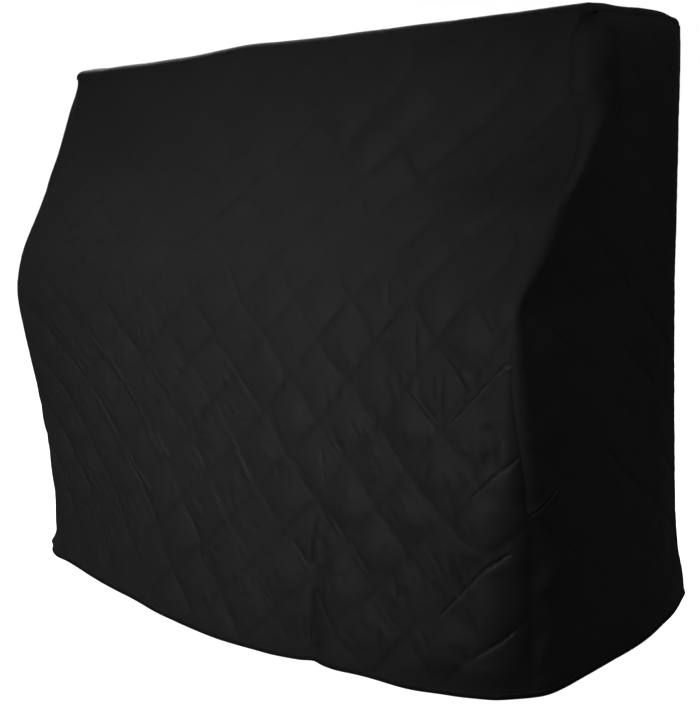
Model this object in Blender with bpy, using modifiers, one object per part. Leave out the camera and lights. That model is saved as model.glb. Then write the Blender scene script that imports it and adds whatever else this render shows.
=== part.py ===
"""Fitted quilted cover for an upright piano, as it hangs over the instrument.

The cover is a hollow shell of quilted cloth, open at the bottom: a front
panel that runs down the case, out over the keyboard and down to the hem, a
top panel, two end panels, a plain back panel and a binding round the hem.
Units are metres. +X is the player's right, +Y goes to the back, +Z is up.
The origin is the centre of the underside of the top panel, where the cover
rests on the lid of the piano.

Every panel is an open surface in "cover heights" (z = 0 at the hem's
corners), given by wall() and lid(), and is then thickened inwards.
"""

import math

import bmesh
import bpy
import numpy as np

# ------------------------------------------------------------ driving sizes
NAME = "piano_cover"
WIDTH = 1.530          # across the keyboard, outside
HEIGHT = 1.212         # hem corners to the top's edge
DEPTH = 0.600          # at the keyboard and below
TOP_DEPTH = 0.361      # front to back of the top
CLOTH = 0.004          # two layers of cloth quilted over thin wadding
GAP = 0.0009           # between two panels at a seam, on the outside
TOP_GAP = 0.0022       # the same at the top's seam, where the cloth leans out
TOP_ROUND = 0.018      # radius of the top's edges
CROWN = 0.006          # the middle of the top above its corners
RIDGE_Z = 0.693        # the keyboard's front edge
SLOPE_Z = 0.984        # where the steeper slope over the keyboard starts
SLOPE_Y = -0.136
BIND_H = 0.012         # hem binding, height
BIND_T = 0.0062        # hem binding, thickness

FRONT_Y = -DEPTH / 2
BACK_Y = DEPTH / 2
LID_Y = BACK_Y - TOP_DEPTH
LID_MID_Y = (LID_Y + BACK_Y) / 2
WALL_TOP = HEIGHT - TOP_ROUND
EDGE_Z = WALL_TOP - 0.012

# Side profile of the front: slope (dy/dz) above each break and how softly the
# cloth turns there (half the height of the bend).
PROFILE = (
    # name        z        slope                                   soft
    ("ridge", RIDGE_Z, (SLOPE_Y - FRONT_Y) / (SLOPE_Z - RIDGE_Z), 0.070),
    ("slope", SLOPE_Z, (LID_Y - SLOPE_Y) / (EDGE_Z - SLOPE_Z), 0.080),
    ("edge", EDGE_Z, 0.0, 0.012),
)

# The front-left and back-right corners of the shell, seen in plan. The cloth
# isn't held below the keyboard, so the left corner is drawn in there.
CORNERS = (
    # z     left_in_x left_out_y right_out_x
    (0.00, 0.065, 0.030, 0.030),
    (0.05, 0.092, 0.027, 0.024),
    (0.10, 0.093, 0.024, 0.014),
    (0.20, 0.087, 0.019, 0.006),
    (0.30, 0.064, 0.014, 0.004),
    (0.40, 0.044, 0.008, 0.002),
    (0.50, 0.014, 0.003, 0.001),
    (0.60, -0.012, 0.000, 0.000),
    (0.70, -0.028, 0.000, 0.000),
    (0.80, -0.042, 0.000, 0.002),
    (0.95, -0.038, 0.000, 0.003),
    (1.10, -0.034, 0.000, 0.003),
    (1.212, -0.023, 0.000, 0.005),
)

# The hem of the front, by share of its width: how far it bellies out and how
# far it hangs below the corners.
FRONT_HEM = (
    # share  out    drop
    (0.00, 0.000, 0.013),
    (0.06, 0.027, 0.013),
    (0.14, 0.054, 0.014),
    (0.22, 0.074, 0.018),
    (0.32, 0.092, 0.020),
    (0.42, 0.101, 0.031),
    (0.53, 0.100, 0.038),
    (0.63, 0.092, 0.034),
    (0.73, 0.079, 0.023),
    (0.83, 0.061, 0.024),
    (0.91, 0.042, 0.018),
    (0.965, 0.023, 0.009),
    (1.00, 0.000, 0.005),
)

# The hem of an end, by share of its depth from the front.
END_HEM = (
    # share  out    drop
    (0.00, 0.000, 0.000),
    (0.08, 0.014, 0.004),
    (0.20, 0.024, 0.005),
    (0.38, 0.029, 0.008),
    (0.58, 0.032, 0.012),
    (0.80, 0.025, 0.006),
    (1.00, 0.000, -0.004),
)

# Height of the top's edges over their corners, by share of width or depth.
TOP_EDGE = (
    # share front   end
    (0.00, 0.000, 0.008),
    (0.18, 0.000, 0.009),
    (0.30, 0.003, 0.008),
    (0.43, 0.013, 0.009),
    (0.56, 0.008, 0.011),
    (0.70, 0.008, 0.011),
    (0.85, 0.007, 0.009),
    (1.00, 0.007, 0.004),
)

# Roundings in plan of the two front corners, and where the seam lies on each:
# 0 = on the front side, 1 = on the end side.
CORNER_ROUND = (
    # z     radius seam
    (0.00, 0.064, 0.56),
    (0.12, 0.078, 0.58),
    (0.30, 0.062, 0.60),
    (0.45, 0.036, 0.56),
    (0.60, 0.022, 0.36),
    (0.70, 0.012, 0.30),
    (0.77, 0.034, 0.20),
    (0.84, 0.040, 0.20),
    (0.90, 0.032, 0.32),
    (0.97, 0.044, 0.40),
    (1.05, 0.082, 0.30),
    (1.14, 0.074, 0.28),
    (1.212, 0.018, 0.50),
)
LEFT_ROUND = (
    (0.00, 0.060, 0.80),
    (0.12, 0.072, 0.80),
    (0.30, 0.054, 0.72),
    (0.45, 0.030, 0.50),
    (0.60, 0.020, 0.35),
    (0.75, 0.034, 0.15),
    (0.90, 0.048, 0.10),
    (1.02, 0.052, 0.12),
    (1.12, 0.046, 0.28),
    (1.212, 0.018, 0.50),
)
# How far the cloth hangs back at the right end, where it drops down the
# piano's case before it slopes out over the keyboard, and how far its corner
# is drawn in there.
HANG_BACK = (
    # z     back   in
    (0.000, 0.000, 0.000),
    (0.380, 0.000, 0.000),
    (0.450, 0.000, 0.007),
    (0.510, 0.000, 0.013),
    (0.570, 0.000, 0.015),
    (0.630, 0.000, 0.013),
    (0.695, 0.000, 0.016),
    (0.744, 0.008, 0.011),
    (0.790, 0.013, 0.002),
    (0.838, 0.016, 0.000),
    (0.861, 0.020, 0.000),
    (0.885, 0.031, 0.000),
    (0.910, 0.045, 0.000),
    (0.943, 0.053, 0.000),
    (0.978, 0.057, 0.000),
    (1.013, 0.058, 0.000),
    (1.047, 0.054, 0.000),
    (1.080, 0.042, 0.000),
    (1.113, 0.028, 0.000),
    (1.147, 0.012, 0.000),
    (1.180, 0.002, 0.000),
    (1.212, 0.000, 0.000),
)
BACK_ROUND = 0.014

# Soft standing folds in the front's skirt: where (share of the width), how
# wide, how deep, and the height at which each starts to show.
FOLDS = (
    # name          share  width  depth  start_z
    ("left_notch", 0.030, 0.018, -0.012, 0.16),
    ("left_roll", 0.085, 0.030, 0.009, 0.34),
    ("middle", 0.705, 0.012, -0.007, 0.33),
    ("middle_roll", 0.745, 0.022, 0.005, 0.36),
    ("right_roll", 0.860, 0.030, 0.004, 0.30),
)


# ------------------------------------------------------------ small helpers
def curve(table, column, at):
    """A smooth curve through one column of a table (monotone cubic)."""
    x = [row[0] for row in table]
    y = [row[column] for row in table]
    at = min(max(at, x[0]), x[-1])
    i = max(k for k in range(len(x) - 1) if x[k] <= at or k == 0)
    d = [(y[k + 1] - y[k]) / (x[k + 1] - x[k]) for k in range(len(x) - 1)]

    def slope(k):
        if k == 0 or k == len(x) - 1:
            return d[min(k, len(d) - 1)]
        a, b = d[k - 1], d[k]
        return 0.0 if a * b <= 0 else 2 * a * b / (a + b)

    h = x[i + 1] - x[i]
    t = (at - x[i]) / h
    return (
        (2 * t**3 - 3 * t**2 + 1) * y[i]
        + (t**3 - 2 * t**2 + t) * h * slope(i)
        + (-2 * t**3 + 3 * t**2) * y[i + 1]
        + (t**3 - t**2) * h * slope(i + 1)
    )


def clamp(value, low=0.0, high=1.0):
    return min(max(value, low), high)


def ease(value):
    value = clamp(value)
    return value * value * (3 - 2 * value)


def hinge(t, soft):
    """0 below a break, t above it, with a soft turn between."""
    if t <= -soft:
        return 0.0
    return t if t >= soft else (t + soft) ** 2 / (4 * soft)


def front_y(z):
    """The front's outside in side view."""
    y, before = FRONT_Y, 0.0
    for _, at, slope, soft in PROFILE:
        y += (slope - before) * hinge(z - at, soft)
        before = slope
    return y


# ------------------------------------------------------------ the draped shell
def drape(x, y, z):
    """Moves a point of the plain shell to where the hanging cloth has it."""
    front = front_y(min(z, WALL_TOP))
    ax = clamp((x + WIDTH / 2) / WIDTH)
    ay = clamp((y - front) / (BACK_Y - front))
    low = clamp(1 - z / RIDGE_Z)
    hang = low * (0.75 + 0.25 * low)
    left, right = 1 - ax, ax
    ahead = (1 - ay) ** 2

    dx = curve(CORNERS, 1, z) * left**1.5 * (1 - ay)
    dx += curve(CORNERS, 3, z) * right**3 * ay
    dx -= curve(HANG_BACK, 2, z) * right**8 * ahead
    dy = -curve(CORNERS, 2, z) * left * ahead

    out = curve(FRONT_HEM, 1, ax) * hang
    for _, share, width, depth, start in FOLDS:
        grow = ease((start - z) / start)
        out += depth * grow * math.exp(-(((ax - share) / width) ** 2))
    dy -= out * ahead
    dy += curve(HANG_BACK, 1, z) * ease((ax - 0.62) / 0.38) * ahead
    side = curve(END_HEM, 1, ay) * hang
    dx += side * (right**4 - 0.5 * left**4)
    drop = curve(FRONT_HEM, 2, ax) * ahead
    drop += (curve(END_HEM, 2, ay) - curve(END_HEM, 2, 0)) * (right**4 + left**4)
    dz = -drop * low

    # the top's edges stand a little uneven over its corners
    up = ease((z - 0.95) / 0.22)
    near_front = ease(1 - (y - LID_Y) / 0.07)
    near_end = ease((abs(x) - (WIDTH / 2 - 0.09)) / 0.07)
    near_back = ease(1 - (BACK_Y - y) / 0.07)
    edge = CROWN
    edge += (curve(TOP_EDGE, 1, ax) - CROWN) * near_front
    edge += (curve(TOP_EDGE, 2, ay) - CROWN) * near_end * (1 - near_front) * (1 - near_back)
    edge *= 1 - 0.6 * near_back
    dz += edge * up
    return x + dx, y + dy, z + dz


def corner(z, side):
    table = CORNER_ROUND if side > 0 else LEFT_ROUND
    return curve(table, 1, z), curve(table, 2, z)


def front_point(share, z):
    """The front wall: -1 to 1 is its flat run, and 1 to 2 turns the corner."""
    radius, seam = corner(z, share)
    y = front_y(z)
    flat = WIDTH / 2 - radius
    over = abs(share) - 1
    if over > 0:
        angle = over * (seam * math.pi / 2 - GAP / 2 / radius)
        x, y = flat + radius * math.sin(angle), y + radius * (1 - math.cos(angle))
    else:
        x = abs(share) * flat
    return drape(math.copysign(x, share), y, z)


def end_point(share, z, side):
    """An end wall: -1 to 0 leaves the front seam, 1 to 2 reaches the back's."""
    radius, seam = corner(z, side)
    y0 = front_y(z)
    if share < 0:
        angle = -share * ((1 - seam) * math.pi / 2 - GAP / 2 / radius)
        x = WIDTH / 2 - radius * (1 - math.cos(angle))
        y = y0 + radius - radius * math.sin(angle)
    elif share <= 1:
        x, y = WIDTH / 2, y0 + radius + share * (BACK_Y - BACK_ROUND - y0 - radius)
    else:
        angle = (share - 1) * (math.pi / 4 - GAP / 2 / BACK_ROUND)
        x = WIDTH / 2 - BACK_ROUND * (1 - math.cos(angle))
        y = BACK_Y - BACK_ROUND + BACK_ROUND * math.sin(angle)
    return drape(side * x, y, z)


def back_point(share, z):
    flat = WIDTH / 2 - BACK_ROUND
    over = abs(share) - 1
    if over > 0:
        angle = over * (math.pi / 4 - GAP / 2 / BACK_ROUND)
        x = flat + BACK_ROUND * math.sin(angle)
        y = BACK_Y - BACK_ROUND * (1 - math.cos(angle))
    else:
        x, y = abs(share) * flat, BACK_Y
    return drape(math.copysign(x, share), y, z)


# ------------------------------------------------------------ steps of the grids
def spread(low, high, count):
    return [low + (high - low) * i / count for i in range(count + 1)]


def wall_rows(step=0.078):
    """Heights of a wall's rows: closer where the cloth turns."""
    low, high = BIND_H + GAP / 3, WALL_TOP - TOP_GAP / 2
    rows, z = [low], low
    while z < high - 0.02:
        bend = min(abs(z - at) / (soft + 0.02) for _, at, _, soft in PROFILE)
        z += step * (0.55 if bend < 1 else 1.0)
        rows.append(z)
    rows[-1] = high
    return rows


# Steps round a corner to the seam, with a short last strip that keeps the
# panel's edge square to the seam.
TURN = (0.33, 0.66, 0.90, 1.00)


def columns_between(low, high, count, turn_low=True, turn_high=True):
    """A wall's columns: its flat run and the turns to its two seams."""
    before = [low - t for t in reversed(TURN)] if turn_low else []
    after = [high + t for t in TURN] if turn_high else []
    return [*before, *spread(low, high, count), *after]


# ------------------------------------------------------------ building in Blender
def material(name, colour, roughness):
    made = bpy.data.materials.new(name)
    made.use_nodes = True
    made.diffuse_color = (*colour, 1)
    shader = made.node_tree.nodes["Principled BSDF"]
    shader.inputs["Base Color"].default_value = (*colour, 1)
    shader.inputs["Roughness"].default_value = roughness
    shader.inputs["Metallic"].default_value = 0.0
    return made


def to_frame(point):
    """Cover heights to the frame at the underside of the top."""
    return (
        point[0],
        point[1] - LID_MID_Y,
        point[2] - (HEIGHT + CROWN - CLOTH),
    )


def sheet(name, columns, rows, place, finish, collection, flip=False):
    """A grid whose vertices are placed by a function, thickened inwards."""
    bm = bmesh.new()
    bmesh.ops.create_grid(bm, x_segments=len(columns) - 1, y_segments=len(rows) - 1, size=1.0)
    for vert in bm.verts:
        i = round((vert.co.x + 1) / 2 * (len(columns) - 1))
        j = round((vert.co.y + 1) / 2 * (len(rows) - 1))
        vert.co = to_frame(place(columns[i], rows[j]))
    bmesh.ops.remove_doubles(bm, verts=bm.verts, dist=0.00001)
    if flip:
        bmesh.ops.reverse_faces(bm, faces=bm.faces)
    mesh = bpy.data.meshes.new(name)
    bm.to_mesh(mesh)
    bm.free()
    mesh.shade_smooth()
    made = bpy.data.objects.new(name, mesh)
    made.data.materials.append(finish)
    collection.objects.link(made)
    thick = made.modifiers.new("thickness", "SOLIDIFY")
    thick.thickness = CLOTH
    thick.offset = -1.0
    thick.use_rim = True
    return made


def lid_point(i, j, xs, ys, turns):
    """The top: a flat rectangle whose edges and corners round down."""
    nx, ny = len(xs) - 1, len(ys) - 1
    ox = turns - i if i < turns else max(0, i - turns - nx)
    oy = turns - j if j < turns else max(0, j - turns - ny)
    x = xs[int(clamp(i - turns, 0, nx))]
    y = ys[int(clamp(j - turns, 0, ny))]
    ring = max(ox, oy)
    if ring == 0:
        return drape(x, y, HEIGHT)
    low = math.pi / 2 - TOP_GAP / 2 / TOP_ROUND
    fall = TURN[ring - 1] * low
    if ox and oy:
        path = oy if ox == ring else 2 * ring - ox
        angle = path / (2 * ring) * math.pi / 2
    else:
        angle = 0.0 if ox else math.pi / 2
    reach = TOP_ROUND * math.sin(fall)
    sx = -1 if i < turns else 1
    sy = -1 if j < turns else 1
    z = HEIGHT - TOP_ROUND * (1 - math.cos(fall))
    return drape(x + sx * reach * math.cos(angle), y + sy * reach * math.sin(angle), z)


def binding(name, finish, collection):
    """One closed ring under the walls, with a rounded section."""
    z = BIND_H - GAP / 3
    loop = [("front", s) for s in columns_between(-1, 1, 40)]
    loop += [("right", s) for s in columns_between(0, 1, 12)]
    loop += [("back", s) for s in reversed(columns_between(-1, 1, 10))]
    loop += [("left", s) for s in reversed(columns_between(0, 1, 12))]

    def at(kind, share, height):
        if kind == "front":
            point = front_point(share, height)
        elif kind == "back":
            point = back_point(share, height)
        else:
            point = end_point(share, height, 1 if kind == "right" else -1)
        return np.array(to_frame(point))

    tops = [(at(*key, z), at(*key, z - 0.010)) for key in loop]
    keep = [0]
    for k in range(1, len(tops)):
        if np.linalg.norm(tops[k][0] - tops[keep[-1]][0]) > 0.005:
            keep.append(k)
    while np.linalg.norm(tops[keep[-1]][0] - tops[keep[0]][0]) < 0.005:
        keep.pop()
    tops = [tops[k] for k in keep]
    count = len(tops)
    half, high = BIND_T / 2, BIND_H - GAP / 3
    # the section: out from the cloth's middle, and down from its edge
    section = (
        # out          down
        (-half + 0.0010, 0.0),
        (half - 0.0010, 0.0),
        (half, 0.0016),
        (half, high - 0.0026),
        (half * 0.5, high),
        (-half * 0.5, high),
        (-half, high - 0.0026),
        (-half, 0.0016),
    )
    bm = bmesh.new()
    rings = []
    for k in range(count):
        top, under = tops[k]
        along = tops[(k + 1) % count][0] - tops[k - 1][0]
        along /= np.linalg.norm(along)
        down = under - top
        down /= np.linalg.norm(down)
        out = np.cross(down, along)
        out /= np.linalg.norm(out)
        middle = top - out * CLOTH / 2
        rings.append([bm.verts.new(middle + out * o + down * d) for o, d in section])
    for k in range(count):
        a, b = rings[k], rings[(k + 1) % count]
        for m in range(len(section)):
            n = (m + 1) % len(section)
            bm.faces.new((a[m], b[m], b[n], a[n]))
    bmesh.ops.recalc_face_normals(bm, faces=bm.faces)
    mesh = bpy.data.meshes.new(name)
    bm.to_mesh(mesh)
    bm.free()
    mesh.shade_smooth()
    mesh.set_sharp_from_angle(angle=math.radians(50))
    made = bpy.data.objects.new(name, mesh)
    made.data.materials.append(finish)
    collection.objects.link(made)
    return made


def main():
    for old in list(bpy.data.objects):
        bpy.data.objects.remove(old, do_unlink=True)
    collection = bpy.data.collections.new(NAME)
    bpy.context.scene.collection.children.link(collection)

    cloth = (0.012, 0.012, 0.013)
    rows = wall_rows()
    front_columns = columns_between(-1, 1, 32)
    end_columns = columns_between(0, 1, 8)
    back_columns = columns_between(-1, 1, 6)

    sheet("front_panel", front_columns, rows, front_point,
          material("front_cloth", cloth, 0.85), collection)
    sheet("end_panel_right", end_columns, rows, lambda s, z: end_point(s, z, 1),
          material("right_end_cloth", cloth, 0.85), collection)
    sheet("end_panel_left", end_columns, rows, lambda s, z: end_point(s, z, -1),
          material("left_end_cloth", cloth, 0.85), collection, flip=True)
    sheet("back_panel", back_columns, rows, back_point,
          material("back_cloth", cloth, 0.85), collection, flip=True)

    turns = len(TURN)
    xs = [-WIDTH / 2 + TOP_ROUND, -0.70, *spread(-0.62, 0.62, 8), 0.70, WIDTH / 2 - TOP_ROUND]
    ys = [LID_Y + TOP_ROUND, LID_Y + 0.045, *spread(LID_MID_Y - 0.10, LID_MID_Y + 0.10, 2),
          BACK_Y - 0.045, BACK_Y - TOP_ROUND]
    across = list(range(len(xs) + 2 * turns))
    deep = list(range(len(ys) + 2 * turns))
    sheet("top_panel", across, deep, lambda i, j: lid_point(i, j, xs, ys, turns),
          material("top_cloth", cloth, 0.85), collection)

    binding("hem_binding", material("binding_tape", (0.014, 0.014, 0.015), 0.6), collection)


main()
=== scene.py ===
"""The looks of the quilted piano cover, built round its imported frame.

Each panel of the CAD shell is replaced by a fine sheet of the same cut and
hang, with the sewn diamonds, puckers, creases and seams raised on it. The
tables and functions of the drape are the same as the CAD part's. Units are
metres, in the frame at the underside of the top.
"""

import math

import bpy
import numpy as np
from mathutils import Matrix, Vector


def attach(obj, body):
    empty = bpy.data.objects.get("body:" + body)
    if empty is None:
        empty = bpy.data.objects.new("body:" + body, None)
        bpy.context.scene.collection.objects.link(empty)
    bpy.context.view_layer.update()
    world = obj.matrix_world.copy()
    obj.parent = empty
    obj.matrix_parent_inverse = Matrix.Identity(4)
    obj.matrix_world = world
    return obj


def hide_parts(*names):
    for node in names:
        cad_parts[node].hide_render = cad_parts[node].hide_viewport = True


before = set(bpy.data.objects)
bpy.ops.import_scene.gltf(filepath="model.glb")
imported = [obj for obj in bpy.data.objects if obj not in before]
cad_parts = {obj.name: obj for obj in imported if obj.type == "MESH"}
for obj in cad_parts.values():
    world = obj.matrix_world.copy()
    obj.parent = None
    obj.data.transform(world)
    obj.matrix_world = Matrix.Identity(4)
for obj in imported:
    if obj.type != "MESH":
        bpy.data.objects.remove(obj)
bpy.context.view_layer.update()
FINE = 1.0

# ------------------------------------------------------------ driving sizes
WIDTH = 1.530
HEIGHT = 1.212
DEPTH = 0.600
TOP_DEPTH = 0.361
CLOTH = 0.004
GAP = 0.00002          # the stitched panels meet at their seams
TOP_GAP = 0.00002
TOP_ROUND = 0.018
CROWN = 0.006
RIDGE_Z = 0.693
SLOPE_Z = 0.984
SLOPE_Y = -0.136
BIND_H = 0.012
BIND_T = 0.0062
BACK_ROUND = 0.014

FRONT_Y = -DEPTH / 2
BACK_Y = DEPTH / 2
LID_Y = BACK_Y - TOP_DEPTH
LID_MID_Y = (LID_Y + BACK_Y) / 2
WALL_TOP = HEIGHT - TOP_ROUND
EDGE_Z = WALL_TOP - 0.012

PROFILE = (
    # name        z        slope                                   soft
    ("ridge", RIDGE_Z, (SLOPE_Y - FRONT_Y) / (SLOPE_Z - RIDGE_Z), 0.070),
    ("slope", SLOPE_Z, (LID_Y - SLOPE_Y) / (EDGE_Z - SLOPE_Z), 0.080),
    ("edge", EDGE_Z, 0.0, 0.012),
)
CORNERS = (
    # z     left_in_x left_out_y right_out_x
    (0.00, 0.065, 0.030, 0.030),
    (0.05, 0.092, 0.027, 0.024),
    (0.10, 0.093, 0.024, 0.014),
    (0.20, 0.087, 0.019, 0.006),
    (0.30, 0.064, 0.014, 0.004),
    (0.40, 0.044, 0.008, 0.002),
    (0.50, 0.014, 0.003, 0.001),
    (0.60, -0.012, 0.000, 0.000),
    (0.70, -0.028, 0.000, 0.000),
    (0.80, -0.042, 0.000, 0.002),
    (0.95, -0.038, 0.000, 0.003),
    (1.10, -0.034, 0.000, 0.003),
    (1.212, -0.023, 0.000, 0.005),
)
FRONT_HEM = (
    # share  out    drop
    (0.00, 0.000, 0.013),
    (0.06, 0.027, 0.013),
    (0.14, 0.054, 0.014),
    (0.22, 0.074, 0.018),
    (0.32, 0.092, 0.020),
    (0.42, 0.101, 0.031),
    (0.53, 0.100, 0.038),
    (0.63, 0.092, 0.034),
    (0.73, 0.079, 0.023),
    (0.83, 0.061, 0.024),
    (0.91, 0.042, 0.018),
    (0.965, 0.023, 0.009),
    (1.00, 0.000, 0.005),
)
END_HEM = (
    # share  out    drop
    (0.00, 0.000, 0.000),
    (0.08, 0.014, 0.004),
    (0.20, 0.024, 0.005),
    (0.38, 0.029, 0.008),
    (0.58, 0.032, 0.012),
    (0.80, 0.025, 0.006),
    (1.00, 0.000, -0.004),
)
TOP_EDGE = (
    # share front   end
    (0.00, 0.000, 0.008),
    (0.18, 0.000, 0.009),
    (0.30, 0.003, 0.008),
    (0.43, 0.013, 0.009),
    (0.56, 0.008, 0.011),
    (0.70, 0.008, 0.011),
    (0.85, 0.007, 0.009),
    (1.00, 0.007, 0.004),
)
CORNER_ROUND = (
    # z     radius seam
    (0.00, 0.064, 0.56),
    (0.12, 0.078, 0.58),
    (0.30, 0.062, 0.60),
    (0.45, 0.036, 0.56),
    (0.60, 0.022, 0.36),
    (0.70, 0.012, 0.30),
    (0.77, 0.034, 0.20),
    (0.84, 0.040, 0.20),
    (0.90, 0.032, 0.32),
    (0.97, 0.044, 0.40),
    (1.05, 0.082, 0.30),
    (1.14, 0.074, 0.28),
    (1.212, 0.018, 0.50),
)
LEFT_ROUND = (
    (0.00, 0.060, 0.80),
    (0.12, 0.072, 0.80),
    (0.30, 0.054, 0.72),
    (0.45, 0.030, 0.50),
    (0.60, 0.020, 0.35),
    (0.75, 0.034, 0.15),
    (0.90, 0.048, 0.10),
    (1.02, 0.052, 0.12),
    (1.12, 0.046, 0.28),
    (1.212, 0.018, 0.50),
)
# How far the cloth hangs back at the right end, where it drops down the
# piano's case before it slopes out over the keyboard, and how far its corner
# is drawn in there.
HANG_BACK = (
    # z     back   in
    (0.000, 0.000, 0.000),
    (0.380, 0.000, 0.000),
    (0.450, 0.000, 0.007),
    (0.510, 0.000, 0.013),
    (0.570, 0.000, 0.015),
    (0.630, 0.000, 0.013),
    (0.695, 0.000, 0.016),
    (0.744, 0.008, 0.011),
    (0.790, 0.013, 0.002),
    (0.838, 0.016, 0.000),
    (0.861, 0.020, 0.000),
    (0.885, 0.031, 0.000),
    (0.910, 0.045, 0.000),
    (0.943, 0.053, 0.000),
    (0.978, 0.057, 0.000),
    (1.013, 0.058, 0.000),
    (1.047, 0.054, 0.000),
    (1.080, 0.042, 0.000),
    (1.113, 0.028, 0.000),
    (1.147, 0.012, 0.000),
    (1.180, 0.002, 0.000),
    (1.212, 0.000, 0.000),
)
FOLDS = (
    # name          share  width  depth  start_z
    ("left_notch", 0.030, 0.018, -0.012, 0.16),
    ("left_roll", 0.085, 0.030, 0.009, 0.34),
    ("middle", 0.705, 0.012, -0.007, 0.33),
    ("middle_roll", 0.745, 0.022, 0.005, 0.36),
    ("right_roll", 0.860, 0.030, 0.004, 0.30),
)

# ------------------------------------------------------------ the quilting
# The sewn lines in the front's own cloth: x across, v down the cloth from the
# top's seam. Falling lines run down to the right, rising ones up to the right.
PITCH_X = 0.1558       # across a diamond
PITCH_V = 0.1634       # down a diamond
FALL_X = 0.1522        # a falling line's x at LINE_V
RISE_X = 0.5995        # a rising line's x at LINE_V
LINE_V = 0.800
TAKE_UP = 1.011        # the quilting draws the marked cloth in by this much ...
TAKE_UP_AT = (0.384, 0.667)    # ... about this point

# The same for an end's cloth: y from its front edge at the keyboard.
END_PITCH_Y = 0.1638
END_PITCH_V = 0.130
END_FALL_Y = 0.0808
END_RISE_Y = 0.095

# How strongly the front's lines and pads show, down the cloth.
SHOW_V = (
    # v     pads  lines
    (0.00, 0.15, 0.20),
    (0.18, 0.35, 0.60),
    (0.38, 0.45, 0.75),
    (0.52, 0.50, 0.65),
    (0.62, 0.68, 0.78),
    (0.76, 1.00, 1.00),
    (1.05, 1.00, 0.95),
    (1.30, 0.85, 0.70),
)
# ... and across it, for each family of lines.
SHOW_X = (
    # x      falling rising
    (-0.765, 0.85, 0.30),
    (-0.550, 1.00, 0.25),
    (-0.100, 0.90, 0.25),
    (0.250, 0.75, 0.35),
    (0.480, 0.60, 0.55),
    (0.640, 0.35, 0.90),
    (0.765, 0.20, 1.00),
)
# How far the lines stray from a straight lattice, in parts of a diamond, over
# X = x / 0.7 and V = (v - LINE_V) / 0.4: a cubic for the falling lines (1, X,
# V, XX, XV, VV, XXX, XXV, XVV, VVV) and a quadratic for the rising ones.
FALL_STRAY = (-0.110, 0.027, 0.035, -0.092, -0.202, 0.025, 0.002, 0.527, 0.114, -0.225)
RISE_STRAY = (0.148, 0.134, -0.253, -0.314, 0.396, -0.042)
# Hard puckers, where the hanging cloth pulls along a sewn line: between which
# heights down the cloth, how hard (mm of roll) and how far off the line (mm).
PUCKERS = (
    # family line from_v to_v  hard off
    ("fall", -5, 1.070, 1.105, 1.2, -8),
    ("fall", -4, 0.831, 1.036, 3.2, -1),
    ("fall", -4, 1.056, 1.100, 1.5, 0),
    ("fall", -3, 0.690, 0.793, 2.6, 11),
    ("fall", -3, 0.843, 0.869, 1.8, 7),
    ("fall", -3, 0.900, 0.956, 3.2, 3),
    ("fall", -2, 0.743, 0.788, 1.7, 11),
    ("fall", -2, 0.925, 0.947, 1.9, -3),
    ("fall", -2, 1.005, 1.020, 1.9, -8),
    ("fall", -2, 1.049, 1.062, 1.5, -10),
    ("fall", -2, 1.090, 1.108, 1.4, 0),
    ("fall", -2, 1.148, 1.190, 1.2, 10),
    ("fall", -1, 0.706, 0.721, 2.0, 6),
    ("fall", -1, 0.753, 0.786, 1.6, 5),
    ("fall", -1, 0.816, 0.871, 2.6, 0),
    ("fall", -1, 0.896, 0.950, 2.6, -7),
    ("fall", -1, 0.985, 1.001, 1.8, -3),
    ("fall", -1, 1.072, 1.116, 1.5, 9),
    ("fall", 0, 0.730, 0.783, 1.3, -3),
    ("fall", 0, 0.804, 0.863, 1.6, -5),
    ("fall", 0, 0.895, 0.942, 3.0, 0),
    ("fall", 0, 0.967, 0.980, 1.2, 1),
    ("fall", 0, 1.012, 1.031, 1.8, 9),
    ("fall", 0, 1.053, 1.102, 1.4, 6),
    ("fall", 1, 0.577, 0.597, 1.5, -8),
    ("fall", 1, 0.645, 0.668, 1.2, -3),
    ("fall", 1, 0.753, 0.788, 1.9, 3),
    ("fall", 1, 0.845, 0.872, 1.6, 6),
    ("fall", 1, 0.890, 0.948, 2.6, 1),
    ("fall", 1, 0.973, 0.994, 1.4, -6),
    ("fall", 1, 1.042, 1.056, 1.3, -10),
    ("fall", 1, 1.100, 1.112, 1.4, 1),
    ("fall", 2, 0.607, 0.621, 1.2, -1),
    ("fall", 2, 0.729, 0.773, 1.7, 3),
    ("fall", 2, 0.845, 0.871, 2.0, -1),
    ("fall", 2, 0.889, 0.941, 2.1, -5),
    ("fall", 2, 1.003, 1.022, 1.6, -2),
    ("fall", 3, 0.531, 0.544, 1.2, -5),
    ("fall", 3, 0.698, 0.717, 1.5, 9),
    ("fall", 3, 0.739, 0.795, 2.5, 9),
    ("fall", 3, 0.813, 0.865, 1.4, -2),
    ("fall", 3, 0.876, 0.896, 1.6, -9),
    ("rise", -7, 0.702, 0.723, 1.4, 5),
    ("rise", -7, 0.762, 0.783, 1.3, -7),
    ("rise", -6, 0.859, 0.871, 1.2, 3),
    ("rise", -5, 0.715, 0.733, 1.1, 3),
    ("rise", -2, 0.605, 0.628, 1.2, 0),
    ("rise", -2, 0.748, 0.766, 1.1, 7),
    ("rise", -1, 0.918, 0.961, 1.1, 1),
    ("rise", 0, 1.063, 1.100, 1.0, -3),
    ("rise", 1, 1.042, 1.100, 1.2, -3),
    ("rise", 1, 1.125, 1.158, 0.9, -5),
    ("rise", 2, 1.225, 1.262, 1.3, -3),
)
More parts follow.
